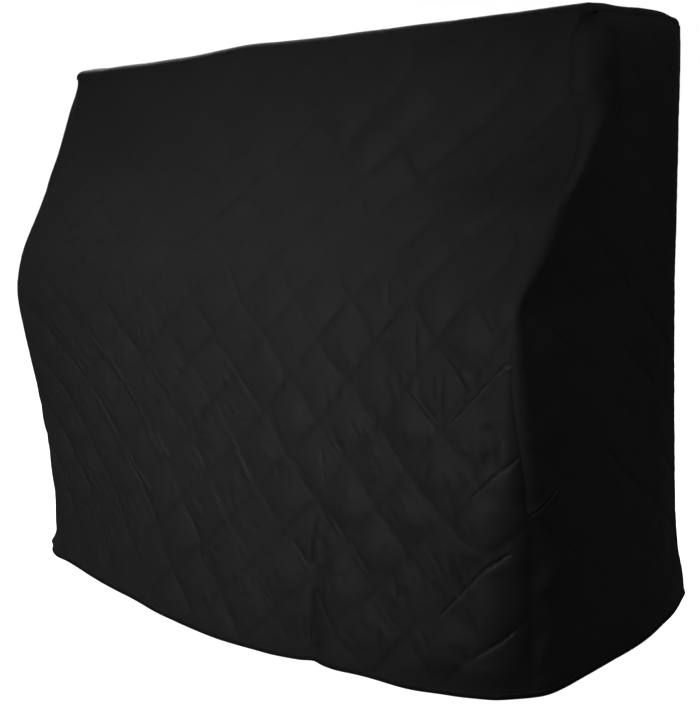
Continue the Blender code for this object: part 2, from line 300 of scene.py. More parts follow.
# Ridges and troughs in the front, besides those of the sewn lines: from and to
# across and down the cloth, with half the width and the height of each in mm.
# Places where the cloth steps up sharply across a rising line, near the right
# corner: from and to as (x, v), with the step's height in mm.
SHARP_STEPS = (
    ((0.622, 0.792), (0.756, 0.666), 2.6),
    ((0.668, 0.921), (0.758, 0.832), 3.0),
    ((0.606, 1.148), (0.735, 1.005), 3.0),
    ((0.676, 1.219), (0.739, 1.150), 2.4),
)
FRONT_PULLS = (
    ((0.389, 0.926), (0.391, 0.956), 17.0, 2.6),
    ((0.655, 0.945), (0.668, 1.030), 20.0, 2.2),
    ((0.362, 1.068), (0.368, 1.102), 17.0, 2.4),
    ((0.522, 1.068), (0.523, 1.102), 17.0, 2.4),
    ((0.445, 1.155), (0.446, 1.192), 17.0, 2.4),
    ((-0.390, 0.719), (-0.324, 0.789), 5.0, 2.4),
    ((-0.317, 0.789), (-0.224, 0.895), 5.0, 2.0),
    ((-0.411, 0.870), (-0.310, 0.963), 5.0, 2.8),
    ((-0.310, 0.963), (-0.222, 1.029), 5.0, 2.0),
    ((-0.203, 0.897), (-0.157, 0.950), 5.0, 3.2),
    ((0.000, 0.806), (0.047, 0.861), 5.0, 2.4),
    ((0.047, 0.861), (0.117, 0.953), 5.0, 1.8),
    ((0.153, 0.808), (0.202, 0.870), 5.0, 1.8),
    ((0.611, 0.973), (0.664, 0.925), 5.0, -2.2),
    ((0.712, 0.784), (0.718, 0.882), 16.0, -3.0),
    ((0.609, 0.882), (0.615, 0.937), 10.0, -2.0),
    ((0.637, 1.047), (0.643, 1.091), 6.0, -2.0),
    ((0.701, 0.930), (0.703, 1.045), 13.0, 2.4),
    ((0.463, 0.533), (0.473, 0.578), 4.0, -2.2),
    ((0.455, 0.530), (0.461, 0.558), 6.2, 1.0),
    ((0.542, 0.604), (0.547, 0.697), 3.5, -1.2),
    ((0.595, 0.703), (0.598, 0.776), 3.5, 1.4),
    ((0.606, 0.699), (0.605, 0.786), 4.5, -2.0),
    ((0.552, 0.748), (0.598, 0.786), 5.0, -1.4),
    ((0.308, 1.000), (0.299, 1.039), 4.5, -3.4),
    ((0.299, 1.039), (0.299, 1.097), 5.0, -4.4),
    ((0.242, 1.056), (0.285, 1.098), 9.0, -2.8),
    ((0.330, 1.038), (0.321, 1.083), 8.0, -1.8),
    ((0.305, 1.148), (0.316, 1.267), 5.0, -3.4),
    ((0.285, 1.205), (0.294, 1.250), 5.0, -1.8),
    ((0.262, 1.234), (0.270, 1.265), 5.0, -1.2),
    ((0.616, 0.859), (0.621, 0.923), 8.0, -2.0),
    ((0.562, 0.886), (0.573, 0.908), 3.5, 1.4),
    ((0.678, 0.787), (0.680, 0.806), 3.5, 1.2),
    ((0.704, 0.789), (0.709, 0.868), 13.0, -2.8),
    ((0.312, 0.706), (0.312, 0.723), 3.5, -1.2),
    ((0.314, 0.861), (0.322, 0.896), 4.5, -1.8),
    ((0.321, 0.909), (0.326, 0.928), 4.0, -1.4),
    ((0.236, 0.890), (0.273, 0.924), 5.0, -1.6),
    ((0.627, 1.025), (0.638, 1.076), 6.0, -2.6),
    ((0.654, 1.027), (0.661, 1.059), 5.0, -2.2),
    ((0.502, 1.089), (0.510, 1.128), 5.0, -1.6),
    ((0.472, 1.195), (0.476, 1.240), 5.0, -1.8),
    ((0.401, 1.215), (0.419, 1.231), 6.0, -1.2),
    ((0.397, 1.034), (0.439, 1.086), 6.0, -1.6),
    ((0.502, 0.964), (0.517, 0.999), 5.0, -1.0),
    ((0.476, 0.973), (0.492, 0.996), 6.0, -1.2),
    ((0.482, 1.025), (0.479, 1.060), 4.0, -1.2),
    ((0.429, 1.034), (0.424, 1.050), 4.0, -1.2),
    ((0.351, 0.992), (0.374, 1.021), 6.0, -1.6),
    ((0.636, 1.200), (0.667, 1.226), 12.0, -2.4),
    ((0.057, 0.264), (0.146, 0.185), 5.0, -1.2),
    ((0.293, 0.298), (0.333, 0.289), 5.0, -1.2),
    ((0.340, 0.277), (0.385, 0.224), 5.0, -1.3),
    ((0.364, 0.208), (0.414, 0.214), 4.5, -0.9),
    ((0.238, 0.388), (0.305, 0.335), 5.0, -1.0),
    ((0.191, 0.366), (0.216, 0.354), 6.0, -1.0),
    ((0.386, 0.391), (0.404, 0.385), 4.0, -1.2),
    ((0.406, 0.366), (0.420, 0.357), 4.0, -1.2),
    ((0.437, 0.332), (0.448, 0.323), 4.0, -1.0),
    ((0.359, 0.444), (0.376, 0.419), 5.0, -1.0),
    ((0.298, 0.450), (0.331, 0.459), 5.0, -1.0),
    ((0.611, 0.414), (0.611, 0.361), 5.0, -1.6),
    ((0.604, 0.420), (0.603, 0.398), 3.5, 0.9),
    ((0.614, 0.451), (0.630, 0.466), 5.0, -1.4),
    ((0.699, 0.510), (0.702, 0.464), 5.5, -1.6),
    ((0.462, 0.400), (0.467, 0.416), 4.0, -0.9),
    ((0.143, 0.282), (0.211, 0.307), 9.0, -1.2),
    ((0.272, 0.533), (0.300, 0.499), 4.5, -0.9),
    ((0.418, 0.462), (0.449, 0.484), 5.0, 0.9),
    ((0.054, 0.440), (0.065, 0.428), 5.0, -1.0),
    ((0.018, 0.355), (-0.007, 0.362), 4.0, -1.0),
    ((0.660, 0.219), (0.685, 0.235), 6.0, -1.2),
    ((0.643, 0.259), (0.633, 0.284), 6.0, -0.8),
)


# ------------------------------------------------------------ small helpers
def smooth_curve(table, column):
    """A monotone cubic through one column, as a function of an array."""
    x = np.array([row[0] for row in table], float)
    y = np.array([row[column] for row in table], float)
    d = np.diff(y) / np.diff(x)
    m = np.zeros_like(y)
    m[0], m[-1] = d[0], d[-1]
    for k in range(1, len(x) - 1):
        m[k] = 0.0 if d[k - 1] * d[k] <= 0 else 2 * d[k - 1] * d[k] / (d[k - 1] + d[k])
    at = np.linspace(x[0], x[-1], 4001)
    i = np.clip(np.searchsorted(x, at, side="right") - 1, 0, len(x) - 2)
    h = x[i + 1] - x[i]
    t = (at - x[i]) / h
    value = (
        (2 * t**3 - 3 * t**2 + 1) * y[i]
        + (t**3 - 2 * t**2 + t) * h * m[i]
        + (-2 * t**3 + 3 * t**2) * y[i + 1]
        + (t**3 - t**2) * h * m[i + 1]
    )
    return lambda a: np.interp(a, at, value)


def ease(value):
    value = np.clip(value, 0.0, 1.0)
    return value * value * (3 - 2 * value)


def between(value, low, high, soft):
    """1 between low and high, fading out over soft on both sides."""
    return ease((value - low) / soft + 0.5) * ease((high - value) / soft + 0.5)


def lattice_noise(shape_or_points, seed):
    """Smooth value noise: a random grid read with eased steps."""
    u, v = shape_or_points
    rng = np.random.default_rng(seed)
    table = rng.uniform(-1, 1, (64, 64))
    iu, iv = np.floor(u).astype(int), np.floor(v).astype(int)
    fu, fv = ease(u - iu), ease(v - iv)
    a = table[iu % 64, iv % 64]
    b = table[(iu + 1) % 64, iv % 64]
    c = table[iu % 64, (iv + 1) % 64]
    d = table[(iu + 1) % 64, (iv + 1) % 64]
    return (a * (1 - fu) + b * fu) * (1 - fv) + (c * (1 - fu) + d * fu) * fv


def cell_random(ia, ib, seed):
    """A steady random number, -1 to 1, for each diamond."""
    rng = np.random.default_rng(seed)
    table = rng.uniform(-1, 1, (97, 89))
    return table[ia.astype(int) % 97, ib.astype(int) % 89]


LEFT_IN = smooth_curve(CORNERS, 1)
LEFT_OUT = smooth_curve(CORNERS, 2)
RIGHT_OUT = smooth_curve(CORNERS, 3)
FRONT_OUT = smooth_curve(FRONT_HEM, 1)
FRONT_DROP = smooth_curve(FRONT_HEM, 2)
END_OUT = smooth_curve(END_HEM, 1)
END_DROP = smooth_curve(END_HEM, 2)
TOP_FRONT = smooth_curve(TOP_EDGE, 1)
TOP_END = smooth_curve(TOP_EDGE, 2)
ROUND_R = smooth_curve(CORNER_ROUND, 1)
ROUND_S = smooth_curve(CORNER_ROUND, 2)
LEFT_R = smooth_curve(LEFT_ROUND, 1)
LEFT_S = smooth_curve(LEFT_ROUND, 2)
SET_BACK = smooth_curve(HANG_BACK, 1)
DRAWN_IN = smooth_curve(HANG_BACK, 2)


def hinge(t, soft):
    return np.where(t <= -soft, 0.0, np.where(t >= soft, t, (t + soft) ** 2 / (4 * soft)))


def front_y(z):
    y, before = np.full_like(z, FRONT_Y), 0.0
    for _, at, slope, soft in PROFILE:
        y = y + (slope - before) * hinge(z - at, soft)
        before = slope
    return y


def drape(x, y, z, hanging=1.0):
    """Moves points of the plain shell to where the hanging cloth has them."""
    front = front_y(np.minimum(z, WALL_TOP))
    ax = np.clip((x + WIDTH / 2) / WIDTH, 0, 1)
    ay = np.clip((y - front) / (BACK_Y - front), 0, 1)
    low = np.clip(1 - z / RIDGE_Z, 0, 1)
    hang = low * (0.75 + 0.25 * low)
    left, right = 1 - ax, ax
    ahead = (1 - ay) ** 2

    dx = LEFT_IN(z) * left**1.5 * (1 - ay)
    dx = dx + RIGHT_OUT(z) * right**3 * ay
    dx = dx - DRAWN_IN(z) * right**8 * ahead
    dy = -LEFT_OUT(z) * left * ahead

    out = FRONT_OUT(ax) * hang
    for _, share, width, depth, start in FOLDS:
        out = out + depth * ease((start - z) / start) * np.exp(-(((ax - share) / width) ** 2))
    dy = dy - out * ahead
    dy = dy + hanging * SET_BACK(z) * ease((ax - 0.62) / 0.38) * ahead
    side = END_OUT(ay) * hang
    dx = dx + side * (right**4 - 0.5 * left**4)
    drop = FRONT_DROP(ax) * ahead
    drop = drop + (END_DROP(ay) - END_DROP(0.0)) * (right**4 + left**4)
    dz = -drop * low

    up = ease((z - 0.95) / 0.22)
    near_front = ease(1 - (y - LID_Y) / 0.07)
    near_end = ease((np.abs(x) - (WIDTH / 2 - 0.09)) / 0.07)
    near_back = ease(1 - (BACK_Y - y) / 0.07)
    edge = CROWN + (TOP_FRONT(ax) - CROWN) * near_front
    edge = edge + (TOP_END(ay) - CROWN) * near_end * (1 - near_front) * (1 - near_back)
    edge = edge * (1 - 0.6 * near_back)
    dz = dz + edge * up
    return np.stack([x + dx, y + dy - LID_MID_Y, z + dz - (HEIGHT + CROWN - CLOTH)], -1)


def corner(z, side):
    """A front corner's radius, and how far round it the seam lies."""
    return np.where(side > 0, ROUND_R(z), LEFT_R(z)), np.where(side > 0, ROUND_S(z), LEFT_S(z))


def front_point(share, z, hanging=1.0):
    radius, seam = corner(z, share)
    y = front_y(z)
    flat = WIDTH / 2 - radius
    over = np.clip(np.abs(share) - 1, 0, 1)
    angle = over * (seam * math.pi / 2 - GAP / 2 / radius)
    x = np.minimum(np.abs(share), 1) * flat + radius * np.sin(angle)
    y = y + radius * (1 - np.cos(angle))
    return drape(np.copysign(x, share), y, z, hanging)


def end_point(share, z, side):
    radius, seam = corner(z, side)
    y0 = front_y(z)
    first = np.clip(-share, 0, 1) * ((1 - seam) * math.pi / 2 - GAP / 2 / radius)
    last = np.clip(share - 1, 0, 1) * (math.pi / 4 - GAP / 2 / BACK_ROUND)
    x = WIDTH / 2 - radius * (1 - np.cos(first)) - BACK_ROUND * (1 - np.cos(last))
    y = y0 + radius + np.clip(share, 0, 1) * (BACK_Y - BACK_ROUND - y0 - radius)
    y = y - radius * np.sin(first) + BACK_ROUND * np.sin(last)
    return drape(side * x, y, z)


def back_point(share, z):
    flat = WIDTH / 2 - BACK_ROUND
    over = np.clip(np.abs(share) - 1, 0, 1)
    angle = over * (math.pi / 4 - GAP / 2 / BACK_ROUND)
    x = np.minimum(np.abs(share), 1) * flat + BACK_ROUND * np.sin(angle)
    y = BACK_Y - BACK_ROUND * (1 - np.cos(angle))
    return drape(np.copysign(x, share), y, z)


def even(n):
    return max(4, int(round(n * FINE / 2)) * 2)


def steps(low, high, count):
    return np.linspace(low, high, even(count) + 1)


def joined(*parts):
    """Runs of steps put end to end, each without its first value after the first."""
    return np.concatenate([parts[0], *[p[1:] for p in parts[1:]]])


def wall_heights(count):
    """Heights in steps down the front's plain profile, closer where the
    quilting shows more."""
    z = np.linspace(WALL_TOP - TOP_GAP / 2, BIND_H + GAP / 3, 4001)
    y = front_y(z)
    run = np.hypot(np.diff(y), np.diff(z)) * (0.75 + 0.45 * ease((0.80 - z[1:]) / 0.10))
    run = np.concatenate([[0], np.cumsum(run)])
    return np.interp(np.linspace(0, run[-1], even(count) + 1), run, z)


def run_along(points, axis):
    """Length along a grid's lines from their first point."""
    gap = np.linalg.norm(np.diff(points, axis=axis), axis=-1)
    start = np.zeros_like(np.take(gap, [0], axis=axis))
    return np.concatenate([start, np.cumsum(gap, axis=axis)], axis=axis)


def normals_of(points):
    """Unit normals of a grid of points (columns by rows going down)."""
    du = np.gradient(points, axis=0)
    dv = np.gradient(points, axis=1)
    n = np.cross(dv, du)
    n /= np.maximum(np.linalg.norm(n, axis=-1, keepdims=True), 1e-12)
    return n


# ------------------------------------------------------------ relief
def pads(a, b, seed, height, vary=0.40, tilt=0.6, full=0.85):
    """The padded diamonds between sewn lines, each a little different."""
    ia, ib = np.floor(a), np.floor(b)
    fa, fb = a - ia, b - ib
    dome = (16 * fa * (1 - fa) * fb * (1 - fb)) ** full
    size = 1 + vary * cell_random(ia, ib, seed)
    lean = tilt * (
        cell_random(ia, ib, seed + 1) * (fa - 0.5) + cell_random(ia, ib, seed + 2) * (fb - 0.5)
    )
    return height * dome * (size + lean)


def sewn(off, depth, width, under):
    """A sewn line's trough, with the cloth raised just under it; off is how
    far a point lies above the line."""
    return -depth * np.exp(-((off / width) ** 2)) + under * np.exp(
        -(((off + 1.5 * width) / (1.1 * width)) ** 2)
    )


def pucker(off, along, low, high, height):
    """A hard pucker along a line: a sharp trough and the roll below it."""
    middle, half = (low + high) / 2, (high - low) / 2
    fade = np.exp(-((np.abs(along - middle) / (half + 0.010)) ** 3))
    shape = -0.7 * np.exp(-(((off - 0.003) / 0.0048) ** 2))
    shape = shape + np.exp(-(((off + 0.008) / 0.0062) ** 2))
    return 0.85 * height * fade * shape


def turned(distance, height, width):
    """A swelling beside a seam, so that the cloth turns in towards it."""
    return height * (distance / width) * np.exp(1 - distance / width)


def seam_dip(distance, along, seed, depth=0.0009):
    """The dip into a seam and the small puckers that run off it."""
    pull = 0.6 + 0.4 * lattice_noise((along / 0.022, along * 0 + 3.1), seed)
    small = lattice_noise((along / 0.009, distance / 0.06), seed + 7)
    return -depth * np.exp(-((distance / 0.006) ** 2)) + (
        0.0007 * pull * small * np.exp(-((distance / 0.022) ** 2))
    )


def unevenness(u, v, seed, height):
    """Slack: broad low swellings of the hanging cloth."""
    return height * (
        0.6 * lattice_noise((u / 0.21 + 5, v / 0.26 + 9), seed)
        + 0.3 * lattice_noise((u / 0.09 + 2, v / 0.12 + 4), seed + 1)
        + 0.1 * lattice_noise((u / 0.04 + 1, v / 0.05 + 8), seed + 2)
    )


def side_groove(a, b, across, seed, peak=0.62, least=0.12, reach=0.017, uneven=1.7):
    """The groove along the sides of the diamonds on which a is whole: each side
    is drawn in by an amount and over a reach of its own. Gives the groove's
    shape and its strength along the line, both from 0 to 1."""
    number, cell = np.round(a), np.floor(b)
    share = b - cell
    power = (0.5 + 0.5 * cell_random(number, cell, seed)) ** uneven
    power = least + (1 - least) * power
    top = peak + 0.12 * cell_random(number, cell, seed + 1)
    up, down = 2.2 * top, 2.2 * (1 - top)
    run = share**up * (1 - share) ** down / (top**up * (1 - top) ** down)
    wide = reach * (1 + 0.25 * cell_random(number, cell, seed + 2))
    off = np.abs(a - number)
    groove = np.exp(-off * across / wide) * ease((0.5 - off) * 4)
    return power * run * groove, power * run


def wrinkles(x, v, seed, count):
    """Short small pulls scattered over the front's cloth, along the falling
    lines on its left and closer to upright on its right."""
    rng = np.random.default_rng(seed)
    total = np.zeros_like(x)
    for _ in range(count):
        at_x, at_v = rng.uniform(-0.72, 0.74), rng.uniform(0.16, 1.27)
        angle = np.interp(at_x, (-0.3, 0.3), (0.70, 0.30)) + rng.normal(0, 0.45)
        long, wide = rng.uniform(0.008, 0.022), rng.uniform(0.0045, 0.0090)
        high = rng.uniform(0.25, 1.0) * rng.choice((-1.0, 1.0)) * 0.0022
        high = high * np.interp(at_v, (0.15, 0.5, 0.75, 1.1, 1.27), (0.30, 0.40, 1.0, 1.0, 0.8))
        high = high * np.interp(at_x, (-0.6, -0.1, 0.2, 0.5), (1.35, 1.0, 1.0, 1.3))
        near = (np.abs(x - at_x) < 0.065) & (np.abs(v - at_v) < 0.065)
        dx, dv = x[near] - at_x, v[near] - at_v
        along = dx * math.sin(angle) + dv * math.cos(angle)
        off = dx * math.cos(angle) - dv * math.sin(angle)
        shape = np.exp(-((off / wide) ** 2)) - 0.6 * np.exp(-(((off - 1.7 * wide) / wide) ** 2))
        total[near] += high * np.exp(-((along / long) ** 2)) * shape
    return total


def pull(u, z, start, stop, wide, high):
    """A ridge, or a trough where high is negative, along one straight run."""
    du, dz = stop[0] - start[0], stop[1] - start[1]
    length = math.hypot(du, dz)
    along = ((u - start[0]) * du + (z - start[1]) * dz) / length
    off = ((u - start[0]) * dz - (z - start[1]) * du) / length
    soft = min(0.6 * length, 0.02)
    fade = ease(along / soft + 0.5) * ease((length - along) / soft + 0.5)
    return high * fade * np.exp(-((off / wide) ** 2))


class Creases:
    """Sharp creases too fine for the mesh: at each point how far it lies from
    the nearest one, in parts of its width, how high that one is in mm and
    how much of a step it is. The material raises them from these, and paints
    a highlight on top of each step."""

    def __init__(self, shape):
        self.off = np.full(shape, 9.0)
        self.high = np.zeros(shape)
        self.skew = np.zeros(shape)
        self.best = np.full(shape, 0.022)

    def add(self, off, along, length, high, wide, skew=0.0):
        fade = ease(along / 0.012 + 0.2) * ease((length - along) / 0.012 + 0.2)
        mine = (np.abs(off) < self.best) & (along > -0.014) & (along < length + 0.014)
        self.best[mine] = np.abs(off[mine])
        self.off[mine] = off[mine] / wide
        self.high[mine] = (high * fade * (np.abs(off) < 0.011))[mine]
        self.skew[mine] = skew

    def add_run(self, u, z, start, stop, high, wide, skew=0.0):
        du, dz = stop[0] - start[0], stop[1] - start[1]
        length = math.hypot(du, dz)
        along = ((u - start[0]) * du + (z - start[1]) * dz) / length
        off = ((u - start[0]) * dz - (z - start[1]) * du) / length
        self.add(off, along, length, high, wide, skew)

    def layer(self):
        return np.stack([self.off, self.high, self.skew], -1)


# ------------------------------------------------------------ sheets as meshes
def grid_indices(n, m):
    return np.arange((n + 1) * (m + 1)).reshape(n + 1, m + 1)


def cloth_mesh(name, outer, inner, cloth_uv, line_uv, strength, finish, creases=None):
    """One closed sheet: a fine outside, an inside at half its steps and a rim."""
    n, m = outer.shape[0] - 1, outer.shape[1] - 1
    a = grid_indices(n, m)
    b = grid_indices(n // 2, m // 2) + a.size
    points = np.concatenate([outer.reshape(-1, 3), inner.reshape(-1, 3)])
    quads_out = np.stack([a[:-1, :-1], a[:-1, 1:], a[1:, 1:], a[1:, :-1]], -1).reshape(-1, 4)
    quads_in = np.stack([b[:-1, :-1], b[1:, :-1], b[1:, 1:], b[:-1, 1:]], -1).reshape(-1, 4)

    def rim(o, i):
        """Faces between an outer border (2k+1 points) and an inner one (k+1)."""
        return [
            (int(o[2 * k]), int(o[2 * k + 1]), int(o[2 * k + 2]), int(i[k + 1]), int(i[k]))
            for k in range(len(i) - 1)
        ]

    faces = [tuple(q) for q in quads_out.tolist()] + [tuple(q) for q in quads_in.tolist()]
    faces += rim(a[:, 0], b[:, 0])
    faces += rim(a[::-1, -1], b[::-1, -1])
    faces += rim(a[0, ::-1], b[0, ::-1])
    faces += rim(a[-1, :], b[-1, :])
    mesh = bpy.data.meshes.new(name)
    mesh.from_pydata(points.tolist(), [], faces)
    mesh.validate()
    # make the faces look out
    probe = mesh.polygons[len(quads_out) // 2]
    want = normals_of(outer).reshape(-1, 3)[probe.vertices[0]]
    if Vector(want).dot(probe.normal) < 0:
        mesh.flip_normals()

    def spread(grid):
        flat = grid.reshape(-1, grid.shape[-1])
        half = grid[::2, ::2].reshape(-1, grid.shape[-1])
        return np.concatenate([flat, half])

    loop_verts = np.empty(len(mesh.loops), np.int32)
    mesh.loops.foreach_get("vertex_index", loop_verts)
    for layer, grid in (("cloth", cloth_uv), ("lines", line_uv)):
        uv = mesh.uv_layers.new(name=layer)
        uv.data.foreach_set("uv", spread(grid)[loop_verts].astype(np.float32).ravel())
    show = mesh.attributes.new("show", "FLOAT_VECTOR", "POINT")
    show.data.foreach_set("vector", spread(strength).astype(np.float32).ravel())
    if creases is not None:
        sharp = mesh.attributes.new("crease", "FLOAT_VECTOR", "POINT")
        sharp.data.foreach_set("vector", spread(creases.layer()).astype(np.float32).ravel())
    mesh.shade_smooth()
    # crisp borders, so that two panels shade as one surface up to their seam
    border = np.zeros(len(mesh.vertices), bool)
    for grid in (a, b):
        border[np.concatenate([grid[0], grid[-1], grid[:, 0], grid[:, -1]])] = True
    ends = np.empty(2 * len(mesh.edges), np.int32)
    mesh.edges.foreach_get("vertices", ends)
    ends = ends.reshape(-1, 2)
    same = (ends[:, 0] < a.size) == (ends[:, 1] < a.size)
    crisp = mesh.attributes.new("sharp_edge", "BOOLEAN", "EDGE")
    crisp.data.foreach_set("value", (border[ends].all(1) & same).ravel())
    mesh.materials.append(finish)
    made = bpy.data.objects.new(name, mesh)
    bpy.context.scene.collection.objects.link(made)
    return made


def inside_of(base, normal, relief):
    """The inside of the sheet: the plain hang, following the broad relief."""
    soft = relief.copy()
    for _ in range(10):
        pad = np.pad(soft, 1, mode="edge")
        soft = (pad[:-2, 1:-1] + pad[2:, 1:-1] + pad[1:-1, :-2] + pad[1:-1, 2:] + 4 * soft) / 8
    least = relief.copy()
    for _ in range(3):
        pad = np.pad(least, 1, mode="edge")
        least = np.minimum.reduce([pad[:-2, 1:-1], pad[2:, 1:-1], pad[1:-1, :-2], pad[1:-1, 2:], least])
    deep = np.minimum(0.5 * soft - CLOTH, least - 0.0016)
    inner = base + normal * deep[..., None]
    return inner[::2, ::2]


# ------------------------------------------------------------ materials
class Nodes:
    """Short names for a material's maths nodes."""

    def __init__(self, name):
        self.material = bpy.data.materials.new(name)
        self.material.use_nodes = True
        self.tree = self.material.node_tree
        self.shader = self.tree.nodes["Principled BSDF"]

    def put(self, socket, value):
        if isinstance(value, (int, float)):
            socket.default_value = value
        elif isinstance(value, tuple):
            socket.default_value = value
        else:
            self.tree.links.new(value, socket)

    def math(self, what, a, b=None, c=None, clamp=False):
        node = self.tree.nodes.new("ShaderNodeMath")
        node.operation = what
        node.use_clamp = clamp
        for socket, value in zip(node.inputs, (a, b, c)):
            if value is not None:
                self.put(socket, value)
        return node.outputs[0]

    def noise(self, where, scale, detail=2.0, rough=0.5, stretch=None):
        if stretch:
            move = self.tree.nodes.new("ShaderNodeMapping")
            move.inputs["Scale"].default_value = stretch
            self.put(move.inputs["Vector"], where)
            where = move.outputs[0]
        node = self.tree.nodes.new("ShaderNodeTexNoise")
        self.put(node.inputs["Vector"], where)
        node.inputs["Scale"].default_value = scale
        node.inputs["Detail"].default_value = detail
        node.inputs["Roughness"].default_value = rough
        return node.outputs["Fac"]

    def ramp(self, value, low, high, to_low, to_high):
        node = self.tree.nodes.new("ShaderNodeMapRange")
        self.put(node.inputs["Value"], value)
        node.inputs["From Min"].default_value = low
        node.inputs["From Max"].default_value = high
        node.inputs["To Min"].default_value = to_low
        node.inputs["To Max"].default_value = to_high
        return node.outputs[0]

    def bump(self, height, distance, strength, normal=None):
        node = self.tree.nodes.new("ShaderNodeBump")
        node.inputs["Distance"].default_value = distance
        node.inputs["Strength"].default_value = strength
        self.put(node.inputs["Height"], height)
        if normal is not None:
            self.put(node.inputs["Normal"], normal)
        return node.outputs[0]

    def uv(self, name):
        node = self.tree.nodes.new("ShaderNodeUVMap")
        node.uv_map = name
        return node.outputs[0]

    def split(self, vector):
        node = self.tree.nodes.new("ShaderNodeSeparateXYZ")
        self.put(node.inputs[0], vector)
        return node.outputs[0], node.outputs[1], node.outputs[2]

    def mix(self, factor, a, b):
        node = self.tree.nodes.new("ShaderNodeMix")
        node.data_type = "RGBA"
        self.put(node.inputs[0], factor)
        self.put(node.inputs[6], a)
        self.put(node.inputs[7], b)
        return node.outputs[2]


